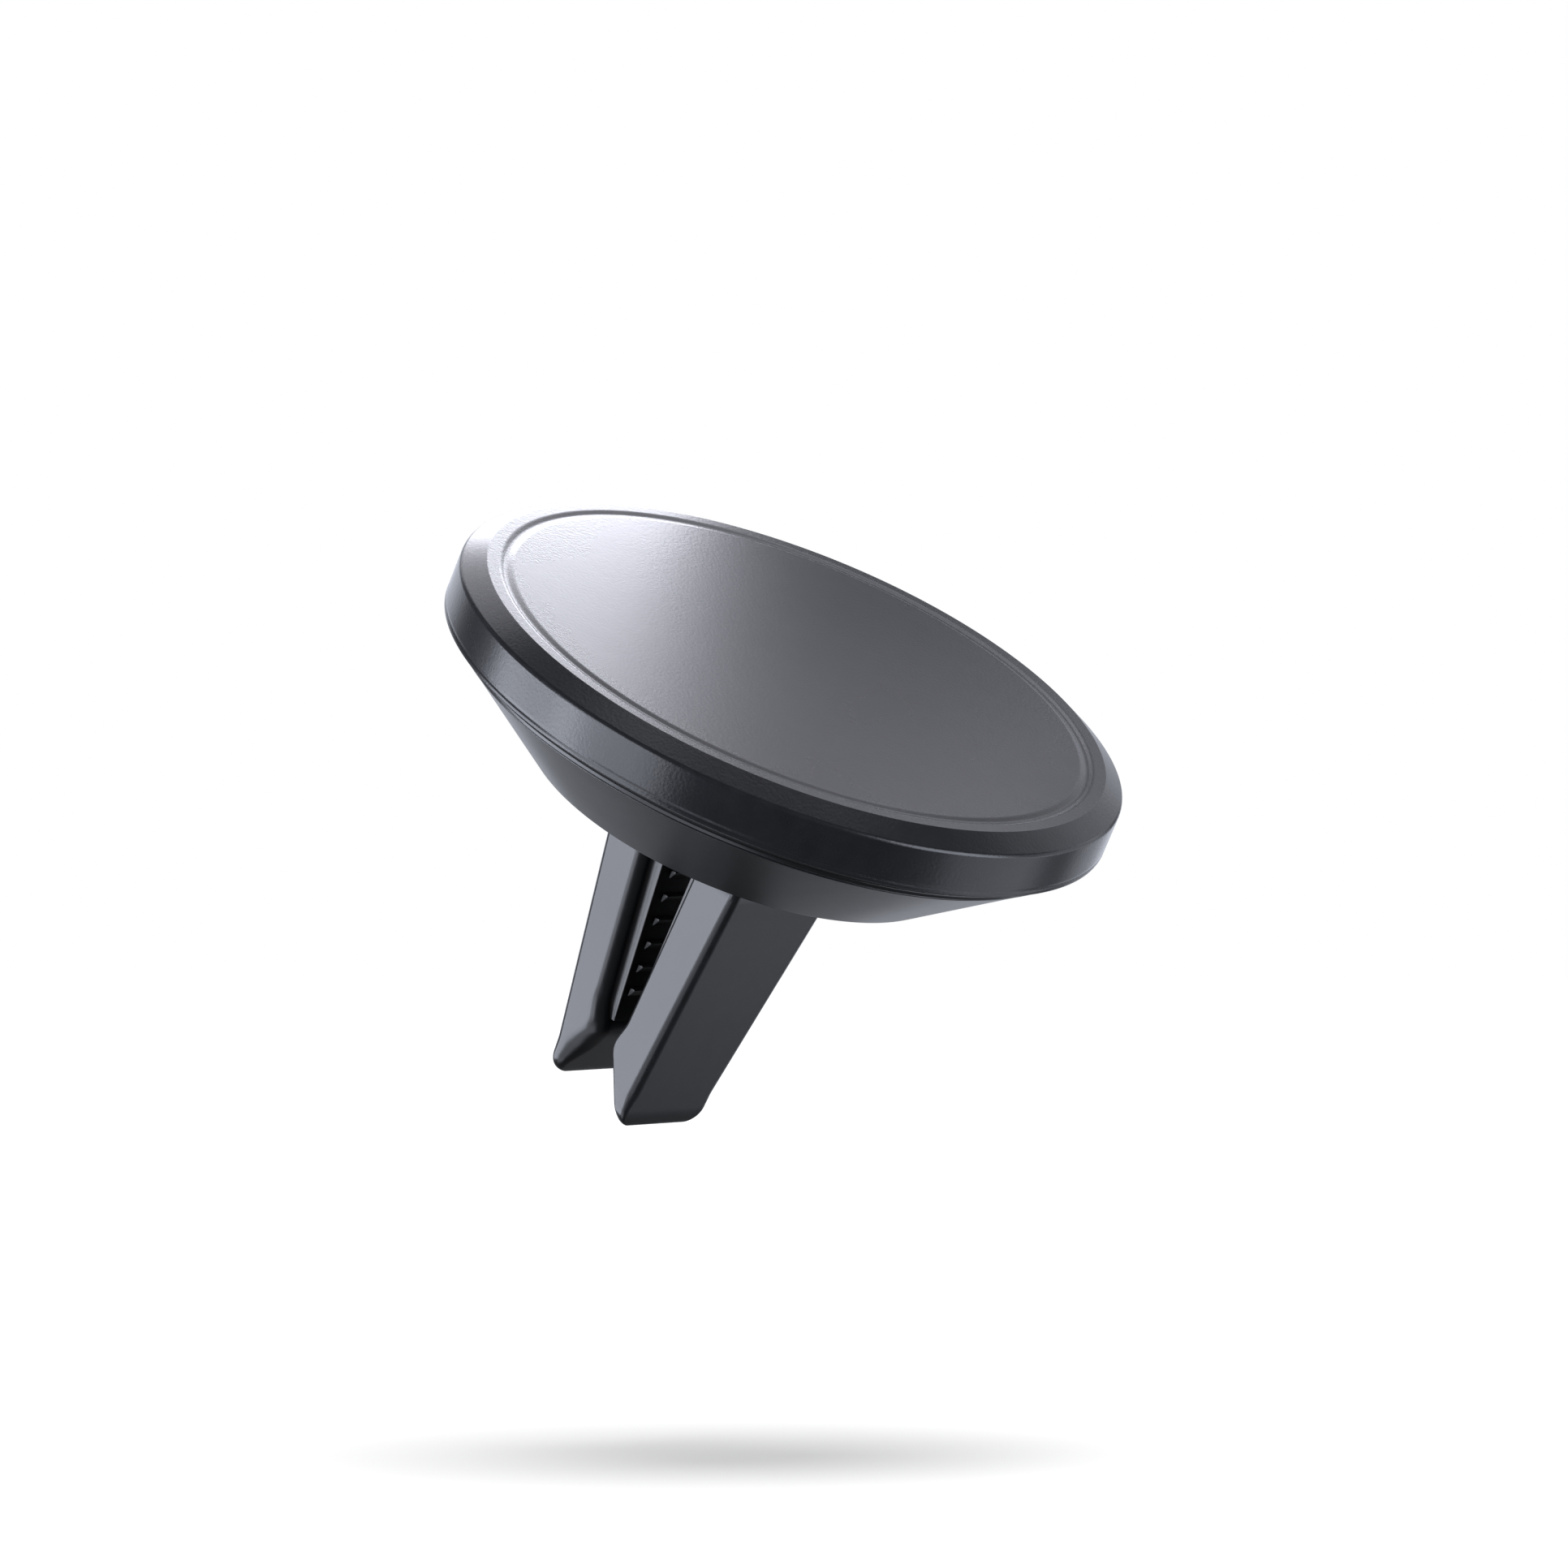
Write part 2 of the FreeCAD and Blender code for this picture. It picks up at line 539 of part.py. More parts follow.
def chassis():
    """Inner frame of the head: flange, web, ribs and the boss that holds the ball socket."""
    body = new_body("Chassis")
    window = f"{SPRING_INNER} - boss_ledge"
    turned(body, "ChassisTurned", [
        (window, BOSS_TOP),
        (BOSS_RADIUS, BOSS_TOP),
        (BOSS_RADIUS, COVER_BOTTOM),
        (FLANGE, COVER_BOTTOM),
        (f"{FLANGE} - flange_bevel", FLANGE_BOTTOM),
        (SPIGOT, FLANGE_BOTTOM),
        (SPIGOT, WEB_BOTTOM),
        (BOSS_RADIUS, WEB_BOTTOM),
        (BOSS_RADIUS, RECESS_FLOOR),
        (BOSS_BORE, RECESS_FLOOR),
        (BOSS_BORE, SPRING_TOP),
        (window, SPRING_TOP),
    ])
    reach = f"{CARRIER_INNER} - rib_clear"
    sketch = polygon(body, "XZ_Plane", "RibProfile", [
        (f"{BOSS_RADIUS} - bite", "face_thickness + rib_gap"),
        (reach, f"{COVER_BOTTOM} - rib_end_height"),
        (reach, f"{COVER_BOTTOM} + bite"),
        (f"{BOSS_RADIUS} - bite", f"{COVER_BOTTOM} + bite"),
    ])
    rib = padded(body, "Rib", sketch, "rib_thickness", midplane=True)
    around(body, "Ribs", rib, "rib_count")
    holes = new_sketch(body, "XY_Plane", "ScrewHoleProfile", f"{COVER_BOTTOM} - spare")
    add_circle(holes, SCREW_SIDE, SCREW_SIDE, "screw_shank + fit")
    hole = pocketed(body, "ScrewHole", holes, "web_thickness + 2 * spare")
    around(body, "ScrewHoles", hole, "screw_count")
    keep("chassis", body)


def chassis_screws():
    """The screws that draw the rear cone onto the chassis."""
    screws = []
    for order in range(int(size("screw_count"))):
        number = order + 1
        head_top = f"{COVER_BOTTOM} - screw_head_height"
        head = cylinder(f"ScrewHead{number}", "screw_head", head_top, COVER_BOTTOM)
        shank_end = f"{COVER_BOTTOM} + screw_length"
        shank = cylinder(f"ScrewShank{number}", "screw_shank", COVER_BOTTOM, shank_end)
        for thing in (head, shank):
            thing.setExpression("Placement.Base.x", of(SCREW_CIRCLE))
        screw = doc.addObject("Part::Fuse", f"Screw{number}")
        screw.Base = head
        screw.Tool = shank
        turn = FreeCAD.Rotation(SPIN_AXIS, 45.0 + 360.0 * order / size("screw_count"))
        screw.Placement = FreeCAD.Placement(FreeCAD.Vector(0, 0, 0), turn)
        screws.append(screw)
    group = doc.addObject("Part::Compound", "ChassisScrews")
    group.Links = screws
    keep("chassis_screws", group)


def trim_ring():
    """Thin ring between the chassis flange and the rear cone, with a groove above its rim."""
    body = new_body("TrimRing")
    inner = f"{SPIGOT} + bore_fit"
    rim_top = f"{FLANGE_BOTTOM} + trim_groove"
    rim_bottom = f"{CONE_TOP} - trim_slit"
    slit_core = f"{TRIM_CORE} - trim_taper"
    turned(body, "TrimTurned", [
        (inner, FLANGE_BOTTOM),
        (TRIM_CORE, FLANGE_BOTTOM),
        (TRIM_CORE, rim_top),
        (TRIM_RIM, rim_top),
        (f"{TRIM_RIM} - trim_taper", rim_bottom),
        (slit_core, rim_bottom),
        (slit_core, CONE_TOP),
        (inner, CONE_TOP),
    ])
    keep("trim_ring", body)


def rear_cone():
    """Rear shell of the head: cone, flat base with a recess for the clip, collar and screw posts."""
    body = new_body("RearCone")
    recess = f"{BOSS_RADIUS} + recess_step"
    collar_bore = f"{BOSS_RADIUS} + bore_fit"
    collar_outer = f"{collar_bore} + collar_wall"
    turned(body, "ConeShell", [
        (f"{CONE_TOP_RADIUS} - cone_wall", CONE_TOP),
        (CONE_TOP_RADIUS, CONE_TOP),
        ("cone_base_radius", CONE_BASE),
        (recess, CONE_BASE),
        (recess, RECESS_FLOOR),
        (collar_bore, RECESS_FLOOR),
        (collar_bore, f"{RECESS_FLOOR} - collar_height"),
        (collar_outer, f"{RECESS_FLOOR} - collar_height"),
        (collar_outer, FLOOR_TOP),
        (f"{cone_outside(FLOOR_TOP)} - cone_wall", FLOOR_TOP),
    ])
    posts = new_sketch(body, "XY_Plane", "PostProfile", WEB_BOTTOM)
    add_circle(posts, SCREW_SIDE, SCREW_SIDE, "post_radius")
    post = padded(body, "Post", posts, f"{FLOOR_TOP} - {WEB_BOTTOM}")
    around(body, "Posts", post, "screw_count")
    pilots = new_sketch(body, "XY_Plane", "PilotProfile", f"{WEB_BOTTOM} - spare")
    add_circle(pilots, SCREW_SIDE, SCREW_SIDE, "screw_shank + fit")
    pilot = pocketed(body, "Pilot", pilots, "spare + screw_length - web_thickness + blind_relief")
    around(body, "Pilots", pilot, "screw_count")
    keep("rear_cone", body)


def disc_spring():
    """Conical spring washer that presses the seat onto the ball."""
    body = new_body("DiscSpring")
    turned(body, "SpringTurned", [
        (SPRING_INNER, SPRING_TOP),
        (f"{SPRING_INNER} + spring_land", SPRING_TOP),
        (SPRING_OUTER, f"{SEAT_TOP} - spring_sheet"),
        (SPRING_OUTER, SEAT_TOP),
        (f"{SPRING_OUTER} - spring_land", SEAT_TOP),
        (SPRING_INNER, f"{SPRING_TOP} + spring_sheet"),
    ])
    keep("disc_spring", body)


def socket_seat():
    """Upper half of the ball socket."""
    ring = cylinder("SeatRing", SEAT_OUTER, SEAT_TOP, f"{BALL_DEPTH} - seat_gap")
    keep("socket_seat", cut("SeatCut", ring, sphere("SeatSphere", SOCKET_RADIUS)))


def clamp_nut():
    """Screwed ring that closes the socket from below, with spanner notches."""
    body = new_body("ClampNutBlank")
    turned(body, "NutTurned", [
        (NUT_MOUTH, f"{BALL_DEPTH} + seat_gap"),
        (SEAT_OUTER, f"{BALL_DEPTH} + seat_gap"),
        (SEAT_OUTER, RECESS_FLOOR),
        (f"{NUT_MOUTH} + nut_lip_wall", NUT_LIP_BOTTOM),
        (f"{NUT_MOUTH} + nut_mouth_flare", NUT_LIP_BOTTOM),
        (NUT_MOUTH, f"{NUT_LIP_BOTTOM} - nut_mouth_flare"),
    ])
    notch = polygon(body, "XZ_Plane", "NotchProfile", [
        (f"{SEAT_OUTER} - notch_reach", f"{RECESS_FLOOR} - notch_drop"),
        (f"{SEAT_OUTER} + spare", f"{RECESS_FLOOR} - notch_drop"),
        (f"{SEAT_OUTER} + spare", f"{RECESS_FLOOR} + spare"),
        (f"{SEAT_OUTER} - notch_reach", f"{RECESS_FLOOR} + spare"),
    ])
    slot = body.newObject("PartDesign::Pocket", "Notch")
    slot.Profile = notch
    slot.Midplane = True
    slot.setExpression("Length", of("notch_width"))
    body.Tip = slot
    around(body, "Notches", slot, "notch_count")
    keep("clamp_nut", cut("NutCut", body, sphere("NutSphere", SOCKET_RADIUS)))


def ball_liner():
    """Split nylon liner between the ball and its socket."""
    shell = sphere("LinerOutside", "ball_radius + ball_play + liner_thickness")
    far = "2 * ball_radius + liner_thickness"
    above = cylinder("LinerAbove", far, f"{BALL_DEPTH} - {far}", f"{BALL_DEPTH} - liner_rise")
    mouth = cylinder("LinerMouth", "neck_radius + neck_play", BALL_DEPTH, f"{BALL_DEPTH} + {far}")
    slit_bottom = f"{BALL_DEPTH} + liner_slit_drop"
    slit_top = f"{BALL_DEPTH} - {far}"
    slit_x = block("SlitAcross", "0", f"2 * ({far})", "liner_slit", slit_top, slit_bottom)
    slit_y = block("SlitAlong", "0", "liner_slit", f"2 * ({far})", slit_top, slit_bottom)
    inside = sphere("LinerInside", "ball_radius + ball_play")
    keep("ball_liner", cut("LinerCut", shell, inside, above, mouth, slit_x, slit_y))


def ball_stud():
    """Ball, neck and the hexagon that sits in the clip base."""
    ball = sphere("StudBall", "ball_radius")
    neck = cylinder("StudNeck", "neck_radius", BALL_DEPTH, HEX_BOTTOM)
    hexagon = doc.addObject("Part::Prism", "StudHexagon")
    hexagon.Polygon = 6
    hexagon.setExpression("Circumradius", of(HEX_RADIUS))
    hexagon.setExpression("Height", of("hex_height"))
    hexagon.setExpression("Placement.Base.z", of(STEM_TOP))
    stud = doc.addObject("Part::MultiFuse", "StudBlank")
    stud.Shapes = [ball, neck, hexagon]
    drill_end = f"{HEX_BOTTOM} - stud_screw_grip - blind_relief"
    drilled = cylinder("StudThread", "stud_screw_shank + fit", drill_end, f"{HEX_BOTTOM} + spare")
    keep("ball_stud", cut("StudCut", stud, drilled))


def stud_screw():
    """Screw that holds the ball stud in the clip base."""
    head = cylinder("StudScrewHead", "stud_screw_head", SINK_TOP, f"{BLOCK_BOTTOM} - fit")
    shank = cylinder("StudScrewShank", "stud_screw_shank", f"{HEX_BOTTOM} - stud_screw_grip", SINK_TOP)
    screw = doc.addObject("Part::Fuse", "StudScrew")
    screw.Base = head
    screw.Tool = shank
    keep("stud_screw", screw)


def trim_sides(body, name, top, bottom, inset="0", corner=None):
    """Cuts a stem piece back to the taper along the blade, with round corners at the tip."""
    sketch = new_sketch(body, "YZ_Plane", f"{name}Profile")
    far = "(2 * stem_top_side)"
    low = f"({stem_side(bottom)} - {inset})"
    for side in ("", "-"):
        edge = [(f"{stem_side(top)} - {inset}", f"{top} - spare")]
        if corner:
            for angle in (0, 30, 60, 90):
                across = f"{low} - {corner} * (1 - cos({angle}))"
                edge.append((across, f"{bottom} - {corner} * (1 - sin({angle}))"))
            edge.append((f"{low} - {corner}", f"{bottom} + spare"))
        else:
            edge.append((low, f"{bottom} + spare"))
        corners = edge + [(far, f"{bottom} + spare"), (far, f"{top} - spare")]
        add_polygon(sketch, [(side + across, along) for across, along in corners])
    pocketed(body, name, sketch)


def facing(face, axis):
    """How far a face's normal at its middle points along an axis, whichever way."""
    first_u, last_u, first_v, last_v = face.ParameterRange
    normal = face.normalAt((first_u + last_u) / 2, (first_v + last_v) / 2)
    return abs(normal.dot(axis))


def outer_edges(shape):
    """Names of the edges where a jaw's outer face meets its side faces."""
    outer = max(shape.Faces, key=lambda face: face.CenterOfMass.x)
    sides = [face for face in shape.Faces if facing(face, FreeCAD.Vector(0, 1, 0)) > 0.9]
    found = []
    for order, edge in enumerate(shape.Edges, start=1):
        on_outer = any(edge.isSame(other) for other in outer.Edges)
        on_side = any(edge.isSame(other) for face in sides for other in face.Edges)
        if on_outer and on_side:
            found.append(f"Edge{order}")
    return found


def clip_base():
    """Top of the clip: shoulders, the block between the jaw roots and the stud's seat."""
    body = new_body("ClipBaseBlank")
    full = f"({STEM_TOP} + shoulder)"
    corners = [
        (f"{stem_half(STEM_TOP)} - shoulder", STEM_TOP),
        (stem_half(full), full),
        (stem_half(BASE_BOTTOM), BASE_BOTTOM),
    ]
    mirrored = [(f"-({across})", along) for across, along in reversed(corners)]
    sketch = polygon(body, "XZ_Plane", "BaseProfile", corners + mirrored)
    padded(body, "BaseBlock", sketch, "2 * (stem_top_side + spare)", midplane=True)
    trim_sides(body, "BaseSides", STEM_TOP, BASE_BOTTOM)
    bevel = new_sketch(body, "YZ_Plane", "BaseBevelProfile")
    inner = f"({stem_side(STEM_TOP)} - shoulder)"
    far = "(2 * stem_top_side)"
    for side in ("", "-"):
        add_polygon(bevel, [
            (f"{side}{inner}", STEM_TOP),
            (f"{side}{inner}", f"{STEM_TOP} - spare"),
            (f"{side}{far}", f"{STEM_TOP} - spare"),
            (f"{side}{far}", full),
            (f"{side}{stem_side(full)}", full),
        ])
    pocketed(body, "BaseBevel", bevel)
    middle = polygon(body, "XZ_Plane", "BlockProfile", [
        (BLOCK_HALF, f"{BASE_BOTTOM} - bite"),
        (BLOCK_HALF, BLOCK_BOTTOM),
        (f"-{BLOCK_HALF}", BLOCK_BOTTOM),
        (f"-{BLOCK_HALF}", f"{BASE_BOTTOM} - bite"),
    ])
    padded(body, "MiddleBlock", middle, "2 * block_side", midplane=True)
    seat = doc.addObject("Part::Prism", "HexagonSeat")
    seat.Polygon = 6
    seat.setExpression("Circumradius", of(f"{HEX_RADIUS} + fit"))
    seat.setExpression("Height", of("hex_height + spare"))
    seat.setExpression("Placement.Base.z", of(f"{STEM_TOP} - spare"))
    bore = cylinder("ScrewBore", "stud_screw_shank + bore_fit", STEM_TOP, f"{BLOCK_BOTTOM} + spare")
    sink = cylinder("ScrewSink", "stud_screw_head + bore_fit", SINK_TOP, f"{BLOCK_BOTTOM} + spare")
    tools = [seat, bore, sink]
    slot_thick = "leaf_thickness + 2 * leaf_play"
    slot_wide = "leaf_width + 2 * leaf_play"
    slot_top = f"{BASE_BOTTOM} - leaf_into_base - leaf_play"
    for name, middle_x in (("LeafSlotRight", "leaf_offset"), ("LeafSlotLeft", "-leaf_offset")):
        tools.append(block(name, middle_x, slot_thick, slot_wide, slot_top, f"{BASE_BOTTOM} + spare"))
    keep("clip_base", cut("BaseCut", body, *tools))


def jaw(side, placement):
    """One tapered jaw with a hump, a lead-in and the holes that hold its pad and leaf."""
    body = new_body(f"Jaw{side}")
    nose_top = f"({TIP} - nose_drop)"
    sketch = polygon(body, "XZ_Plane", f"JawProfile{side}", [
        ("slot_top_half", JAW_TOP),
        ("slot_low_half", SLOT_LOW),
        ("hump_half", f"{TIP} - hump_top_rise"),
        ("hump_half", f"{TIP} - hump_low_rise"),
        ("nose_half", nose_top),
        ("nose_half + nose_flat", TIP),
        (f"{stem_half(TIP)} - nose_flat / 2", TIP),
        (stem_half(nose_top), nose_top),
        (stem_half(JAW_TOP), JAW_TOP),
    ])
    padded(body, f"JawBlock{side}", sketch, "2 * (stem_top_side + spare)", midplane=True)
    trim_sides(body, f"JawSides{side}", JAW_TOP, TIP, corner="tip_corner")
    slot = new_sketch(body, "XY_Plane", f"LeafHole{side}", f"{JAW_TOP} - spare")
    near = "leaf_offset - leaf_thickness / 2 - fit"
    far = "leaf_offset + leaf_thickness / 2 + fit"
    reach = "leaf_width / 2 + fit"
    add_polygon(slot, [(near, reach), (far, reach), (far, f"-({reach})"), (near, f"-({reach})")])
    pocketed(body, f"LeafPocket{side}", slot, "spare + leaf_into_jaw + fit")
    holes = new_sketch(body, "YZ_Plane", f"PegHoles{side}")
    for depth in PEG_DEPTHS:
        add_circle(holes, "0", depth, "peg_radius + fit")
    pocketed(body, f"PegPocket{side}", holes, "slot_low_half + peg_length + fit")
    doc.recompute()
    rounded(body, f"JawEdges{side}", outer_edges(body.Tip.Shape), "jaw_edge_round")
    keep(f"jaw_{side.lower()}", body, placement)


def grip_pad(side, placement):
    """Rubber pad on the jaw's inner face, with cross ridges and moulded pegs."""
    body = new_body(f"GripPad{side}")
    hump_back = sloped(PAD_BOTTOM, SLOT_LOW, f"({TIP} - hump_top_rise)", "slot_low_half", "hump_half")
    sketch = polygon(body, "XZ_Plane", f"PadProfile{side}", [
        ("pad_top_half", PAD_TOP),
        (slot_half(PAD_TOP), PAD_TOP),
        ("slot_low_half", SLOT_LOW),
        (hump_back, PAD_BOTTOM),
        ("pad_low_half", PAD_BOTTOM),
    ])
    padded(body, f"PadSlab{side}", sketch, "2 * stem_top_side", midplane=True)
    trim_sides(body, f"PadSides{side}", PAD_TOP, PAD_BOTTOM, inset="pad_inset")
    run = f"({PAD_BOTTOM} - {PAD_TOP} - ridge_above - ridge_below)"
    front = []
    for order in range(int(size("ridge_count"))):
        middle = f"({PAD_TOP} + ridge_above + {order} * {run} / (ridge_count - 1))"
        above = f"({middle} - ridge_base / 2)"
        below = f"({middle} + ridge_base / 2)"
        front.append((pad_half(above), above))
        front.append((f"{pad_half(middle)} - ridge_height", middle))
        front.append((pad_half(below), below))
    back = [(f"{across} + bite", along) for across, along in (front[-1], front[0])]
    ridges = polygon(body, "XZ_Plane", f"RidgeRow{side}", front + back)
    padded(body, f"Ridges{side}", ridges, "2 * ridge_side", midplane=True)
    pegs = new_sketch(body, "YZ_Plane", f"PegProfile{side}", "slot_low_half")
    for depth in PEG_DEPTHS:
        add_circle(pegs, "0", depth, "peg_radius")
    padded(body, f"Pegs{side}", pegs, "peg_length")
    keep(f"grip_pad_{side.lower()}", body, placement)


def spring_leaf(side, placement):
    """Spring-steel leaf that carries a jaw on the clip base and gives at the root."""
    leaf = block(f"Leaf{side}", "leaf_offset", "leaf_thickness", "leaf_width",
                 f"{BASE_BOTTOM} - leaf_into_base", f"{JAW_TOP} + leaf_into_jaw")
    holder = doc.addObject("Part::Compound", f"LeafHolder{side}")
    holder.Links = [leaf]
    keep(f"spring_leaf_{side.lower()}", holder, placement)


front_cover()
magnet_carrier()
magnets()
yoke_ring()
chassis()
chassis_screws()
trim_ring()
rear_cone()
disc_spring()
socket_seat()
clamp_nut()
ball_liner()
ball_stud()
stud_screw()
clip_base()
for side, placement in (("Right", TURNED), ("Left", HALF_TURN * TURNED)):
    jaw(side, placement)
    grip_pad(side, placement)
    spring_leaf(side, placement)
doc.recompute()

for thing in doc.Objects:
    if "Invalid" in thing.State or "Error" in thing.State:
        raise RuntimeError(f"{thing.Name} didn't compute: {thing.State}")
os.makedirs("parts", exist_ok=True)
for node in nodes:
    if node.Shape.isNull() or not node.Shape.isValid():
        raise RuntimeError(f"{node.Label} has no valid shape")
for node in nodes:
    node.Shape.exportStep(f"parts/{node.Label}.step")
    box = node.Shape.BoundBox
    print(f"{node.Label}: {len(node.Shape.Solids)} solids, {node.Shape.Volume:.2f} mm3, "
          f"x {box.XMin:.2f}..{box.XMax:.2f}, y {box.YMin:.2f}..{box.YMax:.2f}, "
          f"z {box.ZMin:.2f}..{box.ZMax:.2f}")
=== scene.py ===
"""Magnetic phone mount for a car vent: the round magnetic head and the two-jaw vent clip, dressed and lit."""

from __future__ import annotations

import logging
import math
from dataclasses import dataclass, field
from enum import Enum
from typing import Callable, Iterable, Sequence

import bmesh
import bpy
from mathutils import Matrix, Vector


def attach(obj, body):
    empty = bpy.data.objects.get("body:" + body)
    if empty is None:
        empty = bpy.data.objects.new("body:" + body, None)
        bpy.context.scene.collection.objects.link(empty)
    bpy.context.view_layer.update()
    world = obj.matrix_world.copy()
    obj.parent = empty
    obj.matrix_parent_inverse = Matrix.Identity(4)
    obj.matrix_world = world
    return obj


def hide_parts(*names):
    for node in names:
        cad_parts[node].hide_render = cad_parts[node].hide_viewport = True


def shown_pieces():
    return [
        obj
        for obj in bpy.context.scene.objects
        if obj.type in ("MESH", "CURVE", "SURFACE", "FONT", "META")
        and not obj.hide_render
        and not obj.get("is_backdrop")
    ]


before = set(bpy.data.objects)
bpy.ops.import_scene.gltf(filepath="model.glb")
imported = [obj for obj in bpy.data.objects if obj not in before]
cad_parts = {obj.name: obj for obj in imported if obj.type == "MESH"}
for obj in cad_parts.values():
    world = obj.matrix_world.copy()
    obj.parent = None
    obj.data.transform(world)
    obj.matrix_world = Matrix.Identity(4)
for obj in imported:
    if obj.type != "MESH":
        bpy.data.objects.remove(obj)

MM = 0.001
EDGE_LAYER = "edge"
ROUNDING_SHARE = 0.48  # the most of a straight run that one corner's rounding may take
ARC_END_WEAR = 0.25  # edge value where a rounding meets the flat beside it
FLAT_ANGLE = 38.0  # degrees between two faces that are shaded as one
FACE_WEIGHT = 80  # how much a large face decides the shading of its edges
TINY = 1e-6  # millimetres; anything smaller counts as none
log = logging.getLogger("vent_mount")


# ---------------------------------------------------------------- outlines


@dataclass(frozen=True)
class Corner:
    """One corner of an outline in millimetres: across, depth behind the face, and the radius that rounds it."""

    across: float
    depth: float
    rounding: float = 0.0


@dataclass(frozen=True)
class OutlinePoint:
    """A point of a finished outline in millimetres, and how much of an outer edge it is, from 0 to 1."""

    across: float
    depth: float
    edge: float = 0.0


def turn_between(before: Vector, after: Vector) -> float:
    """Returns the signed angle in radians from one 2-D direction to the next."""
    return math.atan2(before.x * after.y - before.y * after.x, before.dot(after))


def rounded_outline(corners: Sequence[Corner], closed: bool, step: float = 9.0) -> list[OutlinePoint]:
    """Rounds the corners of an outline with arcs.

    Args:
        corners: the outline's corners, in order.
        closed: whether the last corner joins the first.
        step: the largest turn between two points of an arc, in degrees.

    Returns:
        The points of the rounded outline, in the same order.
    """
    spots = [Vector((corner.across, corner.depth)) for corner in corners]
    count = len(spots)
    made: list[OutlinePoint] = []
    for index, corner in enumerate(corners):
        here = spots[index]
        is_end = not closed and index in (0, count - 1)
        if corner.rounding <= 0 or is_end:
            made.append(OutlinePoint(here.x, here.y))
            continue
        back, ahead = spots[index - 1] - here, spots[(index + 1) % count] - here
        turn = turn_between(-back, ahead)
        room = ROUNDING_SHARE * min(back.length, ahead.length)
        reach = min(corner.rounding * math.tan(abs(turn) / 2), room)
        radius = reach / math.tan(abs(turn) / 2)
        start = here + back.normalized() * reach
        side = Vector((-back.normalized().y, back.normalized().x)) * (-1 if turn > 0 else 1)
        middle = start + side * radius
        pieces = max(2, math.ceil(math.degrees(abs(turn)) / step))
        for part in range(pieces + 1):
            angle = turn * part / pieces
            arm = start - middle
            spun = Vector((
                arm.x * math.cos(angle) - arm.y * math.sin(angle),
                arm.x * math.sin(angle) + arm.y * math.cos(angle),
            ))
            worn = math.sin(math.pi * part / pieces) if part not in (0, pieces) else ARC_END_WEAR
            made.append(OutlinePoint(middle.x + spun.x, middle.y + spun.y, worn))
    return made


def blend(value: float, start: float, end: float, low: float, high: float) -> float:
    """Gives a straight taper's value, which holds at its ends.

    Args:
        value: where the taper is read.
        start: where it begins.
        end: where it ends.
        low: its value at the start.
        high: its value at the end.

    Returns:
        The value there.
    """
    share = (value - start) / (end - start)
    return low + (high - low) * min(1.0, max(0.0, share))


def soft_chain(points: Sequence[Corner], step: float = 6.0) -> Callable[[float], float]:
    """Makes a smooth line of across against depth, with the corners of a chain rounded.

    Args:
        points: the chain's corners, in order of depth.
        step: the largest turn between two points of a rounding, in degrees.

    Returns:
        A function that gives the across value at a depth.
    """
    line = rounded_outline(points, closed=False, step=step)

    def at(depth: float) -> float:
        """Returns the line's across value at a depth."""
        for first, second in zip(line, line[1:]):
            if depth <= second.depth:
                end = max(second.depth, first.depth + TINY)
                return blend(depth, first.depth, end, first.across, second.across)
        return line[-1].across

    return at


# ---------------------------------------------------------------- meshes


def shown_piece(name: str, mesh: bpy.types.Mesh) -> bpy.types.Object:
    """Links a mesh to the scene as a smooth-shaded piece whose flat faces stay flat.

    Args:
        name: the piece's name.
        mesh: its mesh, in metres in the row frame.

    Returns:
        The new object.
    """
    mesh.shade_smooth()
    mesh.set_sharp_from_angle(angle=math.radians(FLAT_ANGLE))
    piece = bpy.data.objects.new(name, mesh)
    bpy.context.scene.collection.objects.link(piece)
    flatten = piece.modifiers.new("flat_faces_stay_flat", "WEIGHTED_NORMAL")
    flatten.mode = "FACE_AREA"
    flatten.weight = FACE_WEIGHT
    flatten.keep_sharp = True
    return piece


def finished_mesh(name: str, shape: bmesh.types.BMesh) -> bpy.types.Mesh:
    """Turns a bmesh into a mesh with outward faces, and frees it.

    Args:
        name: the mesh's name.
        shape: the bmesh.

    Returns:
        The mesh.
    """
    bmesh.ops.recalc_face_normals(shape, faces=shape.faces)
    mesh = bpy.data.meshes.new(name)
    shape.to_mesh(mesh)
    shape.free()
    return mesh


def place(across: float, along: float, depth: float) -> Vector:
    """Returns a point of the row frame in metres, from millimetres across, along and behind the face."""
    return Vector((across * MM, along * MM, -depth * MM))


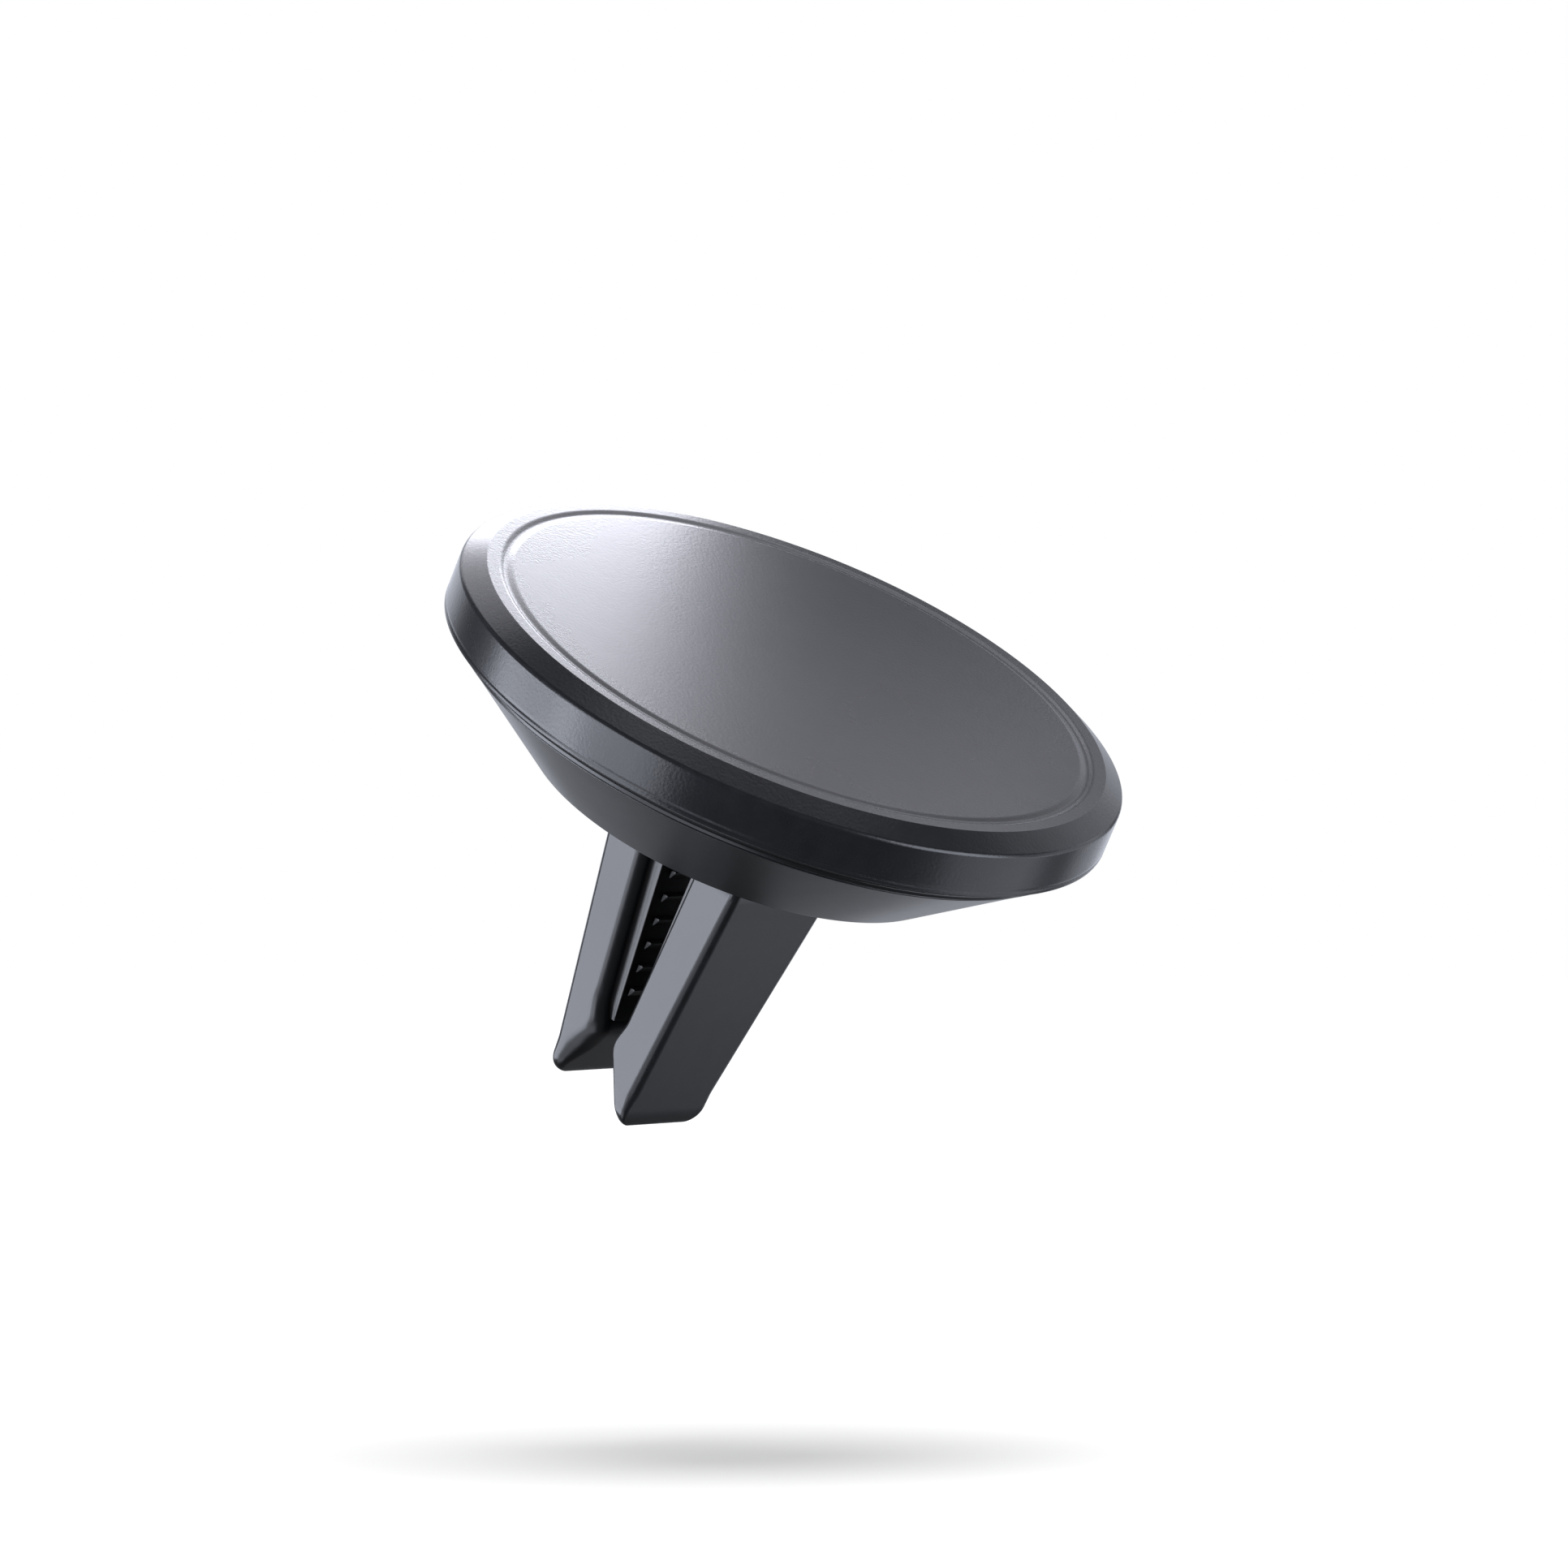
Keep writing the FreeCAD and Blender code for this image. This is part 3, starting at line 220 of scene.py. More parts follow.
@dataclass
class ShapeMaker:
    """Collects turned and lofted shells in one bmesh, with an edge value on each vertex."""

    name: str
    shape: bmesh.types.BMesh = field(default_factory=bmesh.new)

    def __post_init__(self) -> None:
        """Adds the layer that holds the edge values."""
        self.edge = self.shape.verts.layers.float.new(EDGE_LAYER)

    def vertex(self, spot: Vector, edge: float = 0.0) -> bmesh.types.BMVert:
        """Adds one vertex with its edge value.

        Args:
            spot: its place in metres.
            edge: how much of an outer edge it is, from 0 to 1.

        Returns:
            The vertex.
        """
        made = self.shape.verts.new(spot)
        made[self.edge] = edge
        return made

    def turned(self, outline: Sequence[OutlinePoint], parts: int, centre: tuple[float, float] = (0.0, 0.0)) -> None:
        """Turns an outline about an axis along the depth.

        Args:
            outline: the closed outline; a point on the axis becomes a single vertex.
            parts: the number of steps round the turn.
            centre: the axis's place across and along, in millimetres.
        """
        rings: list[list[bmesh.types.BMVert]] = []
        for point in outline:
            if point.across < TINY:
                rings.append([self.vertex(place(*centre, point.depth), point.edge)])
                continue
            ring = []
            for part in range(parts):
                angle = 2 * math.pi * part / parts
                across = centre[0] + point.across * math.cos(angle)
                along = centre[1] + point.across * math.sin(angle)
                ring.append(self.vertex(place(across, along, point.depth), point.edge))
            rings.append(ring)
        for first, second in zip(rings, rings[1:] + rings[:1]):
            self.bridge(first, second)

    def bridge(self, first: list[bmesh.types.BMVert], second: list[bmesh.types.BMVert]) -> None:
        """Joins two rings with faces.

        Args:
            first: a ring, or a single vertex.
            second: the next ring, or a single vertex.
        """
        if len(first) == 1 and len(second) == 1:
            return
        count = max(len(first), len(second))
        for part in range(count):
            after = (part + 1) % count
            corners = [first[part % len(first)], first[after % len(first)]]
            corners += [second[after % len(second)], second[part % len(second)]]
            self.shape.faces.new(list(dict.fromkeys(corners)))

    def lofted(self, sections: Sequence[Sequence[tuple[Vector, float]]]) -> None:
        """Joins sections into a closed shell, with a flat face at each end.

        Args:
            sections: rings of points with their edge values, all of the same count.
        """
        rings = [[self.vertex(spot, edge) for spot, edge in section] for section in sections]
        for first, second in zip(rings, rings[1:]):
            self.bridge(first, second)
        self.shape.faces.new(rings[0])
        self.shape.faces.new(rings[-1])

    def done(self) -> bpy.types.Object:
        """Finishes the mesh and links it as a piece."""
        return shown_piece(self.name, finished_mesh(self.name, self.shape))


# ---------------------------------------------------------------- shader node groups


class Nodes:
    """Short ways to add and join shader nodes in one tree."""

    def __init__(self, tree: bpy.types.NodeTree) -> None:
        """Keeps the tree that the nodes go into."""
        self.tree = tree
        self.placed = 0

    def add(self, kind: str, **settings: object) -> bpy.types.Node:
        """Adds a node, and sets its properties and its inputs.

        Args:
            kind: the node's type, without the "ShaderNode" in front.
            settings: properties by name; a name that begins with in_ is an input, with _ for a space.

        Returns:
            The new node.
        """
        node = self.tree.nodes.new(kind if kind.startswith("Node") else "ShaderNode" + kind)
        node.location = (self.placed * 190, -(self.placed % 4) * 170)
        self.placed += 1
        for name, value in settings.items():
            if name.startswith("in_"):
                self.feed(node.inputs[name[3:].replace("_", " ")], value)
            else:
                setattr(node, name, value)
        return node

    def feed(self, socket: bpy.types.NodeSocket, value: object) -> None:
        """Links an output to an input, or sets the input's own value.

        Args:
            socket: the input.
            value: an output socket, or a plain value.
        """
        if isinstance(value, bpy.types.NodeSocket):
            self.tree.links.new(value, socket)
        else:
            socket.default_value = value

    def maths(self, kind: str, *values: object, clamp: bool = False) -> bpy.types.NodeSocket:
        """Adds a Math node.

        Args:
            kind: the operation.
            values: output sockets or numbers, in the order of the inputs.
            clamp: whether the result stays between 0 and 1.

        Returns:
            The node's output.
        """
        node = self.add("Math", operation=kind, use_clamp=clamp)
        for socket, value in zip(node.inputs, values):
            self.feed(socket, value)
        return node.outputs[0]

    def ranged(self, value: object, low: object, high: object, to_low: object, to_high: object) -> bpy.types.NodeSocket:
        """Adds a clamped Map Range node.

        Args:
            value: what is mapped.
            low: the value that becomes to_low.
            high: the value that becomes to_high.
            to_low: the result at low.
            to_high: the result at high.

        Returns:
            The node's output.
        """
        node = self.add("MapRange", clamp=True)
        for socket, item in zip(node.inputs, (value, low, high, to_low, to_high)):
            self.feed(socket, item)
        return node.outputs[0]

    def tinted(self, share: object, first: object, second: object) -> bpy.types.NodeSocket:
        """Adds a colour Mix node.

        Args:
            share: how much of the second colour, from 0 to 1.
            first: the first colour.
            second: the second colour.

        Returns:
            The node's output.
        """
        node = self.add("Mix", data_type="RGBA", blend_type="MIX")
        self.feed(node.inputs[0], share)
        self.feed(node.inputs[6], first)
        self.feed(node.inputs[7], second)
        return node.outputs[2]


@dataclass(frozen=True)
class Port:
    """One named number socket of a node group, with its starting value."""

    name: str
    value: float = 0.0


def new_group(
    name: str, inputs: Iterable[Port], outputs: Iterable[Port]
) -> tuple[Nodes, bpy.types.Node, bpy.types.Node]:
    """Makes an empty shader node group with named number sockets.

    Args:
        name: the group's name.
        inputs: its input sockets.
        outputs: its output sockets.

    Returns:
        The group's nodes, its input node and its output node.
    """
    tree = bpy.data.node_groups.new(name, "ShaderNodeTree")
    for port in inputs:
        socket = tree.interface.new_socket(port.name, in_out="INPUT", socket_type="NodeSocketFloat")
        socket.default_value = port.value
    for port in outputs:
        tree.interface.new_socket(port.name, in_out="OUTPUT", socket_type="NodeSocketFloat")
    nodes = Nodes(tree)
    return nodes, nodes.add("NodeGroupInput"), nodes.add("NodeGroupOutput")


class Effects:
    """The surface effects that several finishes share, each one a node group."""

    def __init__(self) -> None:
        """Builds the groups once."""
        self.grain = self.build_grain()
        self.wear = self.build_wear()
        self.handling = self.build_handling()
        self.brushing = self.build_brushing()

    def build_grain(self) -> bpy.types.NodeTree:
        """Builds the fine pebbled grain of a spark-eroded mould.

        Returns:
            The group: Per Metre and Pebbling in, Height and Tone out.
        """
        inputs = (Port("Per Metre", 5000.0), Port("Pebbling", 0.5))
        nodes, given, result = new_group("MouldGrain", inputs, (Port("Height"), Port("Tone")))
        spots = nodes.add("TexCoord").outputs["Object"]
        scale, pebbling = given.outputs["Per Metre"], given.outputs["Pebbling"]
        fine = nodes.add("TexNoise", in_Vector=spots, in_Scale=scale, in_Detail=2.5, in_Roughness=0.55)
        pebble_scale = nodes.maths("MULTIPLY", scale, 0.85)
        pebbles = nodes.add("TexVoronoi", feature="SMOOTH_F1", in_Vector=spots, in_Scale=pebble_scale)
        crown = nodes.ranged(pebbles.outputs["Distance"], 0.0, 0.75, 1.0, 0.0)
        height = nodes.add("Mix", data_type="FLOAT")
        nodes.feed(height.inputs[0], pebbling)
        nodes.feed(height.inputs[2], fine.outputs[0])
        nodes.feed(height.inputs[3], crown)
        patches = nodes.add("TexNoise", in_Vector=spots, in_Scale=nodes.maths("MULTIPLY", scale, 0.08), in_Detail=2.0)
        nodes.feed(result.inputs["Height"], height.outputs[0])
        nodes.feed(result.inputs["Tone"], nodes.ranged(patches.outputs[0], 0.35, 0.65, 0.0, 1.0))
        return nodes.tree

    def build_wear(self) -> bpy.types.NodeTree:
        """Builds the light rub along outer edges.

        Returns:
            The group: Amount and Per Metre in, Mask out.
        """
        nodes, given, result = new_group("EdgeWear", (Port("Amount", 0.5), Port("Per Metre", 900.0)), (Port("Mask"),))
        spots = nodes.add("TexCoord").outputs["Object"]
        edge = nodes.add("Attribute", attribute_type="GEOMETRY", attribute_name=EDGE_LAYER).outputs["Fac"]
        broken = nodes.add("TexNoise", in_Vector=spots, in_Scale=given.outputs["Per Metre"], in_Detail=4.0)
        patchy = nodes.ranged(broken.outputs[0], 0.35, 0.7, 0.25, 1.0)
        rubbed = nodes.maths("MULTIPLY", edge, patchy)
        nodes.feed(result.inputs["Mask"], nodes.maths("MULTIPLY", rubbed, given.outputs["Amount"], clamp=True))
        return nodes.tree

    def build_handling(self) -> bpy.types.NodeTree:
        """Builds the cloudy variation that handling and mould flow leave in the gloss.

        Returns:
            The group: Per Metre and Amount in, Shift out, centred on 0.
        """
        inputs = (Port("Per Metre", 60.0), Port("Amount", 0.05))
        nodes, given, result = new_group("HandledGloss", inputs, (Port("Shift"),))
        spots = nodes.add("TexCoord").outputs["Object"]
        cloud = nodes.add("TexNoise", in_Vector=spots, in_Scale=given.outputs["Per Metre"], in_Detail=5.0)
        nodes.feed(cloud.inputs["Distortion"], 0.6)
        centred = nodes.maths("SUBTRACT", cloud.outputs[0], 0.5)
        nodes.feed(result.inputs["Shift"], nodes.maths("MULTIPLY", centred, given.outputs["Amount"]))
        return nodes.tree

    def build_brushing(self) -> bpy.types.NodeTree:
        """Builds fine lines round the axis, as turning or rolling leaves them.

        Returns:
            The group: Per Metre in, Height out.
        """
        nodes, given, result = new_group("TurnedLines", (Port("Per Metre", 4000.0),), (Port("Height"),))
        spots = nodes.add("TexCoord").outputs["Object"]
        parts = nodes.add("SeparateXYZ", in_Vector=spots)
        square = nodes.maths("MULTIPLY", parts.outputs[0], parts.outputs[0])
        square = nodes.maths("MULTIPLY_ADD", parts.outputs[1], parts.outputs[1], square)
        radius = nodes.maths("SQRT", square)
        flat = nodes.add("CombineXYZ", in_X=radius, in_Y=parts.outputs[2])
        lines = nodes.add("TexNoise", in_Vector=flat.outputs[0], in_Scale=given.outputs["Per Metre"], in_Detail=3.0)
        nodes.feed(result.inputs["Height"], lines.outputs[0])
        return nodes.tree


# ---------------------------------------------------------------- finishes


Colour = tuple[float, float, float, float]
DEEP_TONE = 0.82  # brightness of a plastic's darker patches
WORN_GLOSS = 0.06  # roughness that rubbing takes off an edge
STAIN_SHARE = 0.4  # patches on a metal against its lines, per metre


def opaque(red: float, green: float, blue: float) -> Colour:
    """Returns an opaque colour."""
    return (red, green, blue, 1.0)


def darker(colour: Colour, share: float) -> Colour:
    """Returns a colour at a share of its brightness."""
    return opaque(*(channel * share for channel in colour[:3]))


@dataclass(frozen=True)
class PlasticFinish:
    """A moulded plastic or rubber: its colours, gloss and grain."""

    name: str
    base: Colour
    rubbed: Colour
    roughness: float
    gloss_shift: float
    grain_per_metre: float
    pebbling: float
    grain_depth: float
    wear: float

    def material(self, effects: Effects) -> bpy.types.Material:
        """Builds the finish's material.

        Args:
            effects: the shared node groups.

        Returns:
            The material.
        """
        made, nodes, shader = new_material(self.name)
        grain = nodes.add("Group", node_tree=effects.grain, in_Per_Metre=self.grain_per_metre)
        nodes.feed(grain.inputs["Pebbling"], self.pebbling)
        wear = nodes.add("Group", node_tree=effects.wear, in_Amount=self.wear).outputs["Mask"]
        cloud = nodes.add("Group", node_tree=effects.handling, in_Amount=self.gloss_shift).outputs["Shift"]
        deep = darker(self.base, DEEP_TONE)
        toned = nodes.tinted(grain.outputs["Tone"], deep, self.base)
        nodes.feed(shader.inputs["Base Color"], nodes.tinted(wear, toned, self.rubbed))
        rough = nodes.maths("ADD", cloud, self.roughness)
        rough = nodes.maths("MULTIPLY_ADD", wear, -WORN_GLOSS, rough)
        nodes.feed(shader.inputs["Roughness"], rough)
        bump = nodes.add("Bump", in_Strength=1.0, in_Distance=self.grain_depth, in_Height=grain.outputs["Height"])
        nodes.feed(shader.inputs["Normal"], bump.outputs[0])
        return made


@dataclass(frozen=True)
class MetalFinish:
    """A plain or plated metal: its colours, gloss and surface lines."""

    name: str
    base: Colour
    stain: Colour
    roughness: float
    gloss_shift: float
    lines_per_metre: float
    line_depth: float

    def material(self, effects: Effects) -> bpy.types.Material:
        """Builds the finish's material.

        Args:
            effects: the shared node groups.

        Returns:
            The material.
        """
        made, nodes, shader = new_material(self.name)
        lines = nodes.add("Group", node_tree=effects.brushing, in_Per_Metre=self.lines_per_metre).outputs["Height"]
        grain = nodes.add("Group", node_tree=effects.grain, in_Per_Metre=self.lines_per_metre * STAIN_SHARE)
        cloud = nodes.add("Group", node_tree=effects.handling, in_Amount=self.gloss_shift).outputs["Shift"]
        nodes.feed(shader.inputs["Base Color"], nodes.tinted(grain.outputs["Tone"], self.stain, self.base))
        nodes.feed(shader.inputs["Roughness"], nodes.maths("ADD", cloud, self.roughness))
        bump = nodes.add("Bump", in_Strength=1.0, in_Distance=self.line_depth, in_Height=lines)
        nodes.feed(shader.inputs["Normal"], bump.outputs[0])
        shader.inputs["Metallic"].default_value = 1.0
        return made


def new_material(name: str) -> tuple[bpy.types.Material, Nodes, bpy.types.Node]:
    """Makes a material with a Principled shader on its output.

    Args:
        name: the material's name.

    Returns:
        The material, its nodes and its shader.
    """
    made = bpy.data.materials.new(name)
    made.use_nodes = True
    made.node_tree.nodes.clear()
    nodes = Nodes(made.node_tree)
    shader = nodes.add("BsdfPrincipled")
    end = nodes.add("OutputMaterial")
    nodes.tree.links.new(shader.outputs[0], end.inputs["Surface"])
    return made, nodes, shader


class Finish(Enum):
    """Every finish of the mount."""

    COVER = PlasticFinish(
        name="soft_touch_cover",
        base=opaque(0.021, 0.022, 0.026),
        rubbed=opaque(0.045, 0.047, 0.053),
        roughness=0.28, gloss_shift=0.05,
        grain_per_metre=5200.0, pebbling=0.6, grain_depth=8.5e-6, wear=0.6,
    )
    SHELL = PlasticFinish(
        name="satin_shell",
        base=opaque(0.017, 0.018, 0.021),
        rubbed=opaque(0.036, 0.038, 0.043),
        roughness=0.30, gloss_shift=0.06,
        grain_per_metre=7000.0, pebbling=0.2, grain_depth=2.0e-6, wear=0.6,
    )
    CLIP = PlasticFinish(
        name="moulded_clip",
        base=opaque(0.013, 0.014, 0.016),
        rubbed=opaque(0.030, 0.032, 0.036),
        roughness=0.30, gloss_shift=0.05,
        grain_per_metre=6500.0, pebbling=0.25, grain_depth=2.5e-6, wear=0.5,
    )
    FRAME = PlasticFinish(
        name="inner_frame",
        base=opaque(0.012, 0.012, 0.013),
        rubbed=opaque(0.020, 0.020, 0.022),
        roughness=0.50, gloss_shift=0.06,
        grain_per_metre=5000.0, pebbling=0.3, grain_depth=5.0e-6, wear=0.3,
    )
    NYLON = PlasticFinish(
        name="natural_nylon",
        base=opaque(0.55, 0.53, 0.47),
        rubbed=opaque(0.65, 0.63, 0.58),
        roughness=0.42, gloss_shift=0.05,
        grain_per_metre=4500.0, pebbling=0.2, grain_depth=3.0e-6, wear=0.3,
    )
    RUBBER = PlasticFinish(
        name="grip_rubber",
        base=opaque(0.010, 0.010, 0.011),
        rubbed=opaque(0.022, 0.022, 0.024),
        roughness=0.34, gloss_shift=0.06,
        grain_per_metre=6000.0, pebbling=0.5, grain_depth=3.0e-6, wear=0.4,
    )
    MAGNET = MetalFinish(
        name="nickel_plate",
        base=opaque(0.60, 0.58, 0.55),
        stain=opaque(0.48, 0.46, 0.43),
        roughness=0.26, gloss_shift=0.08,
        lines_per_metre=5000.0, line_depth=1.0e-6,
    )
    STEEL = MetalFinish(
        name="zinc_plated_steel",
        base=opaque(0.52, 0.53, 0.55),
        stain=opaque(0.40, 0.40, 0.41),
        roughness=0.34, gloss_shift=0.10,
        lines_per_metre=3500.0, line_depth=2.0e-6,
    )
    SPRING_STEEL = MetalFinish(
        name="blued_spring_steel",
        base=opaque(0.25, 0.26, 0.29),
        stain=opaque(0.18, 0.18, 0.20),
        roughness=0.36, gloss_shift=0.10,
        lines_per_metre=4500.0, line_depth=2.0e-6,
    )
    STUD = MetalFinish(
        name="ground_stud_steel",
        base=opaque(0.56, 0.57, 0.58),
        stain=opaque(0.47, 0.48, 0.49),
        roughness=0.22, gloss_shift=0.08,
        lines_per_metre=6000.0, line_depth=1.5e-6,
    )


class Wardrobe:
    """Holds the built materials and puts them on pieces and on CAD nodes."""

    def __init__(self) -> None:
        """Builds each finish's material once."""
        effects = Effects()
        self.materials = {finish: finish.value.material(effects) for finish in Finish}

    def dress(self, piece: bpy.types.Object, finish: Finish, slot: str) -> None:
        """Puts a finish on a new piece.

        Args:
            piece: the piece.
            finish: its finish.
            slot: not used.
        """
        piece.data.materials.clear()
        piece.data.materials.append(self.materials[finish])

    def dress_node(self, node: str, finish: Finish) -> None:
        """Puts a finish on each material slot of a CAD node that stays.

        Args:
            node: the node's name.
            finish: its finish.
        """
        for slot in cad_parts[node].material_slots:
            slot.material = self.materials[finish]
        log.info("node %s keeps its mesh, in %s", node, finish.value.name)


def seat(piece: bpy.types.Object, body: str, *nodes: str) -> None:
    """Makes a piece ride on a body and stand for its CAD nodes.

    Args:
        piece: the piece.
        body: the body's name.
        nodes: the names of the nodes that it replaces.
    """
    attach(piece, body)
    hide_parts(*nodes)
    log.info("piece %s rides on %s and stands for %s", piece.name, body, ", ".join(nodes))


WELD = 0.002 * MM  # CAD points closer than this are one
CAD_FLAT = math.radians(0.5)  # CAD faces that turn less than this are one
CAD_SHARP = math.radians(35.0)  # CAD edges sharper than this are rounded off
MOULDED_EDGE_WEAR = 0.7


def softened(node: str, name: str, width: float) -> bpy.types.Object:
    """Makes a piece in a CAD node's shape with its sharp edges rounded off, as a mould leaves them.

    Args:
        node: the CAD node.
        name: the piece's name.
        width: the rounding's width in millimetres.

    Returns:
        The piece.
    """
    maker = ShapeMaker(name)
    shape = maker.shape
    shape.from_mesh(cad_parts[node].data)
    maker.edge = shape.verts.layers.float.get(EDGE_LAYER) or shape.verts.layers.float.new(EDGE_LAYER)
    bmesh.ops.remove_doubles(shape, verts=shape.verts[:], dist=WELD)
    bmesh.ops.dissolve_limit(shape, angle_limit=CAD_FLAT, verts=shape.verts[:], edges=shape.edges[:])
    sharp = [edge for edge in shape.edges if len(edge.link_faces) == 2 and edge.calc_face_angle() > CAD_SHARP]
    rounded = bmesh.ops.bevel(
        shape, geom=sharp, offset=width * MM, offset_type="OFFSET", segments=3, profile=0.5, affect="EDGES",
        clamp_overlap=True,
    )
    for vertex in rounded["verts"]:
        vertex[maker.edge] = MOULDED_EDGE_WEAR
    return maker.done()


# ---------------------------------------------------------------- head


@dataclass
class MagneticHead:
    """The round head: cover, seam ring, rear cone and what is inside them. Sizes in millimetres."""

    wardrobe: Wardrobe
    radius: float = 28.0
    chamfer_inner: float = 26.12
    chamfer_drop: float = 1.1
    cover_height: float = 4.8
    cover_bore: float = 26.8
    face_thickness: float = 1.3
    bead_top: float = 0.68
    bead_middle: float = 0.46
    bead_bottom: float = 0.28
    bead_dip: float = 0.035
    groove_inner: float = 23.95
    groove_outer: float = 25.05
    groove_drop: float = 0.15
    groove_slopes: tuple[float, float] = (0.45, 0.4)
    flange_bottom: float = 5.3
    trim_inner: float = 23.8
    trim_core: float = 26.2
    trim_rim: float = 26.85
    trim_rim_taper: float = 0.13
    trim_rim_top: float = 5.37
    trim_rim_bottom: float = 5.8
    trim_groove: float = 26.05
    cone_top: float = 5.95
    cone_top_radius: float = 26.45
    cone_base: float = 13.3
    cone_base_radius: float = 17.66
    cone_wall: float = 2.3
    cone_floor: float = 1.5
    recess_radius: float = 12.0
    recess_floor: float = 11.7
    collar_top: float = 10.2
    collar_bore: float = 11.5
    collar_outer: float = 12.9
    post_circle: float = 17.0
    post_top: float = 6.3
    post_bore: float = 1.05
    post_outer: float = 2.3
    nut_ease: float = 0.15
    steps: int = 288
    post_steps: int = 32

    def build(self) -> None:
        """Builds and dresses the head."""
        self.cover()
        self.seam_ring()
        self.rear_cone()
        self.clamp_nut()
        self.inside()

    def cover(self) -> None:
        """Builds the soft-touch cover: face, ring groove, land, chamfer, side wall with its bead, and hollow back."""
        bore, ceiling, lip = self.cover_bore, self.face_thickness, self.cover_height
        groove_start, groove_end = self.groove_slopes
        rings = [Corner(radius, 0.0) for radius in (0.0, 5.0, 10.0, 15.0, 20.0)]
        corners = rings + [
            Corner(self.groove_inner, 0.0, 0.9),
            Corner(self.groove_inner + groove_start, self.groove_drop, 0.6),
            Corner(self.groove_outer - groove_end, self.groove_drop, 0.5),
            Corner(self.groove_outer, 0.0, 0.7),
            Corner(self.chamfer_inner, 0.0, 0.12),
            Corner(self.radius, self.chamfer_drop, 0.45),
            Corner(self.radius, lip - self.bead_top, 0.3),
            Corner(self.radius - self.bead_dip, lip - self.bead_middle, 0.25),
            Corner(self.radius, lip - self.bead_bottom, 0.15),
            Corner(self.radius, lip, 0.2),
            Corner(bore, lip, 0.1),
            Corner(bore, ceiling, 0.2),
            Corner(0.0, ceiling),
        ]
        maker = ShapeMaker("cover_skin")
        maker.turned(rounded_outline(corners, closed=False, step=8.0), self.steps)
        piece = maker.done()
        self.wardrobe.dress(piece, Finish.COVER, "cover_plastic")
        seat(piece, "head", "front_cover")

    def seam_ring(self) -> None:
        """Builds the thin ring between the cover and the cone, with its rounded rim."""
        corners = [
            Corner(self.trim_inner, self.flange_bottom),
            Corner(self.trim_core, self.flange_bottom),
            Corner(self.trim_core, self.trim_rim_top),
            Corner(self.trim_rim, self.trim_rim_top, 0.1),
            Corner(self.trim_rim - self.trim_rim_taper, self.trim_rim_bottom, 0.12),
            Corner(self.trim_groove, self.trim_rim_bottom),
            Corner(self.trim_groove, self.cone_top),
            Corner(self.trim_inner, self.cone_top),
        ]
        maker = ShapeMaker("seam_ring")
        maker.turned(rounded_outline(corners, closed=True, step=15.0), self.steps)
        piece = maker.done()
        self.wardrobe.dress(piece, Finish.SHELL, "shell_plastic")
        seat(piece, "head", "trim_ring")

    def rear_cone(self) -> None:
        """Builds the rear shell: cone, rounded base, recess for the clip, collar and screw posts."""
        floor_top = self.cone_base - self.cone_floor
        outside = blend(floor_top, self.cone_top, self.cone_base, self.cone_top_radius, self.cone_base_radius)
        corners = [
            Corner(self.cone_top_radius - self.cone_wall, self.cone_top),
            Corner(self.cone_top_radius, self.cone_top, 0.1),
            Corner(self.cone_base_radius, self.cone_base, 0.6),
            Corner(self.recess_radius, self.cone_base, 0.3),
            Corner(self.recess_radius, self.recess_floor, 0.15),
            Corner(self.collar_bore, self.recess_floor, 0.1),
            Corner(self.collar_bore, self.collar_top),
            Corner(self.collar_outer, self.collar_top),
            Corner(self.collar_outer, floor_top),
            Corner(outside - self.cone_wall, floor_top),
        ]
        maker = ShapeMaker("cone_shell")
        maker.turned(rounded_outline(corners, closed=True, step=8.0), self.steps)
        post = [
            Corner(self.post_bore, self.post_top),
            Corner(self.post_outer, self.post_top),
            Corner(self.post_outer, floor_top),
            Corner(self.post_bore, floor_top),
        ]
        for quarter in range(4):
            angle = math.radians(45 + 90 * quarter)
            centre = (self.post_circle * math.cos(angle), self.post_circle * math.sin(angle))
            maker.turned(rounded_outline(post, closed=True), self.post_steps, centre)
        piece = maker.done()
        self.wardrobe.dress(piece, Finish.SHELL, "shell_plastic")
        seat(piece, "head", "rear_cone")

    def clamp_nut(self) -> None:
        """Builds the grooved nut that closes the ball joint, with its edges eased."""
        piece = softened("clamp_nut", "grooved_nut", self.nut_ease)
        self.wardrobe.dress(piece, Finish.SHELL, "shell_plastic")
        seat(piece, "head", "clamp_nut")

    def inside(self) -> None:
        """Dresses the CAD nodes inside the head."""
        magnets = [name for name in sorted(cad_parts) if name.startswith("magnet_") and name[-1].isdigit()]
        dressed = {
            Finish.FRAME: ["magnet_carrier", "chassis"],
            Finish.NYLON: ["socket_seat", "ball_liner"],
            Finish.MAGNET: magnets,
            Finish.STEEL: ["yoke_ring", "chassis_screws"],
            Finish.SPRING_STEEL: ["disc_spring"],
        }
        for finish, nodes in dressed.items():
            for node in nodes:
                self.wardrobe.dress_node(node, finish)


# ---------------------------------------------------------------- clip


class Side(Enum):
    """The two sides of the clip across the blade."""

    RIGHT = ("right", 1.0)
    LEFT = ("left", -1.0)

    @property
    def word(self) -> str:
        """The side's name in node and body names."""
        return self.value[0]

    @property
    def sign(self) -> float:
        """The side's direction across the clip."""
        return self.value[1]


